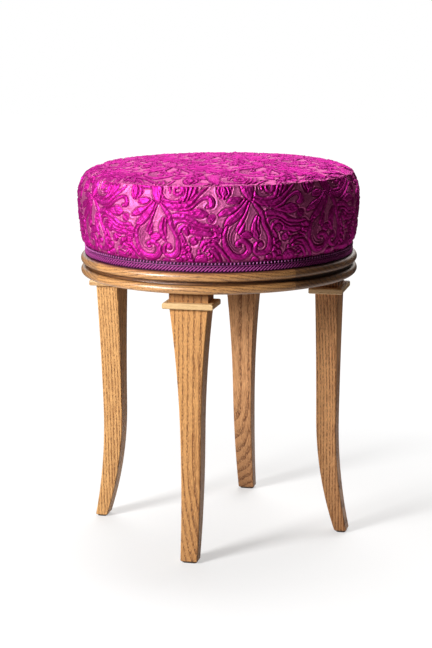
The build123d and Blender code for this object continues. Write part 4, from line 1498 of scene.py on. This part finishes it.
def studio_lamp(name, kind, azimuth, elevation, distance):
    """One lamp at a direction and distance from the stool, aimed at it."""
    light = bpy.data.lights.new(name, kind)
    lamp = bpy.data.objects.new(name, light)
    bpy.context.scene.collection.objects.link(lamp)
    towards = direction(azimuth, elevation)
    lamp.location = LIGHT_AIM + towards * distance
    lamp.rotation_mode = "QUATERNION"
    lamp.rotation_quaternion = towards.to_track_quat("Z", "Y")
    lamp.visible_camera = False
    return light


def studio_light():
    """A softbox at the front left and a wide soft light from high behind the stool."""
    key = studio_lamp("softbox", "AREA", KEY_AZIMUTH, KEY_ELEVATION, KEY_DISTANCE)
    key.shape = "DISK"
    key.size = KEY_SIZE
    key.energy = KEY_POWER
    overhead = studio_lamp("overhead", "SUN", OVERHEAD_AZIMUTH, OVERHEAD_ELEVATION, OVERHEAD_DISTANCE)
    overhead.energy = OVERHEAD_STRENGTH
    overhead.angle = OVERHEAD_SOFTNESS


def studio_surround():
    """A surround that the camera sees as white: it fills little, but for a glowing backdrop behind."""
    world = bpy.data.worlds.new("studio")
    bpy.context.scene.world = world
    world.use_nodes = True
    tree = world.node_tree
    tree.nodes.clear()
    path = add(tree, "ShaderNodeLightPath").outputs
    heading = add(tree, "ShaderNodeTexCoord").outputs["Generated"]
    behind = direction(VIEW_AZIMUTH + math.pi, BACKDROP_ELEVATION)
    backdrop = spread(tree, vector_maths(tree, "DOT_PRODUCT", heading, behind), *BACKDROP_REACH)
    strength = spread(tree, path["Is Glossy Ray"], 0.0, 1.0, SURROUND_FILL, SURROUND_GLOSS)
    strength = maths(tree, "ADD", strength, maths(tree, "MULTIPLY", backdrop, BACKDROP_GLOW))
    tint = mix(tree, backdrop, SURROUND_TINT, WHITE)
    fill = add(tree, "ShaderNodeBackground", {"Color": tint, "Strength": strength}).outputs[0]
    white = add(tree, "ShaderNodeBackground", {"Color": WHITE, "Strength": 1.0}).outputs[0]
    both = add(tree, "ShaderNodeMixShader", {0: path["Is Camera Ray"], 1: fill, 2: white}).outputs[0]
    add(tree, "ShaderNodeOutputWorld", {"Surface": both})
    bpy.context.scene.view_settings.view_transform = "Standard"


def photograph_camera():
    """Camera at the photograph's place, turn and lens."""
    camera = bpy.data.objects.new("camera", bpy.data.cameras.new("camera"))
    bpy.context.scene.collection.objects.link(camera)
    camera.data.lens = CAMERA_LENS
    camera.data.clip_end = CAMERA_CLIP
    turn = Matrix.Rotation(CAMERA_TURN, 4, "Z")
    pitch = Matrix.Rotation(math.radians(90) - CAMERA_PITCH, 4, "X")
    roll = Matrix.Rotation(CAMERA_ROLL, 4, "Z")
    camera.matrix_world = Matrix.Translation(CAMERA_PLACE) @ turn @ pitch @ roll
    bpy.context.scene.camera = camera


photograph_camera()
studio_floor()
studio_light()
studio_surround()
dress_woodwork()
for inner in ("ring_dowels", "tenon_wedges"):
    dress(inner, beech())
for fastening in ("webbing_staples", "cover_staples"):
    dress(fastening, staple_wire())
cloth = brocade()
cover_band(cloth)
cover_top(cloth)
gimp_braid([braid_yarn(part) for part in BRAID_TONES])
wadding(fibre_finish("cotton_wadding"))
stuffing(fibre_finish("curled_hair"))
strap_jute = jute()
for strap_number, strap_row in enumerate(STRAP_ROWS, start=1):
    webbing_strap(f"webbing_across_{strap_number}", strap_row, 0, False, strap_jute)
    webbing_strap(f"webbing_along_{strap_number}", strap_row, 1, True, strap_jute)
hessian_disc(hessian_cloth())
brown_felt = fibre_finish("brown_felt")
for leg_side in LEG_SIDES:
    felt_pad(leg_side, brown_felt)
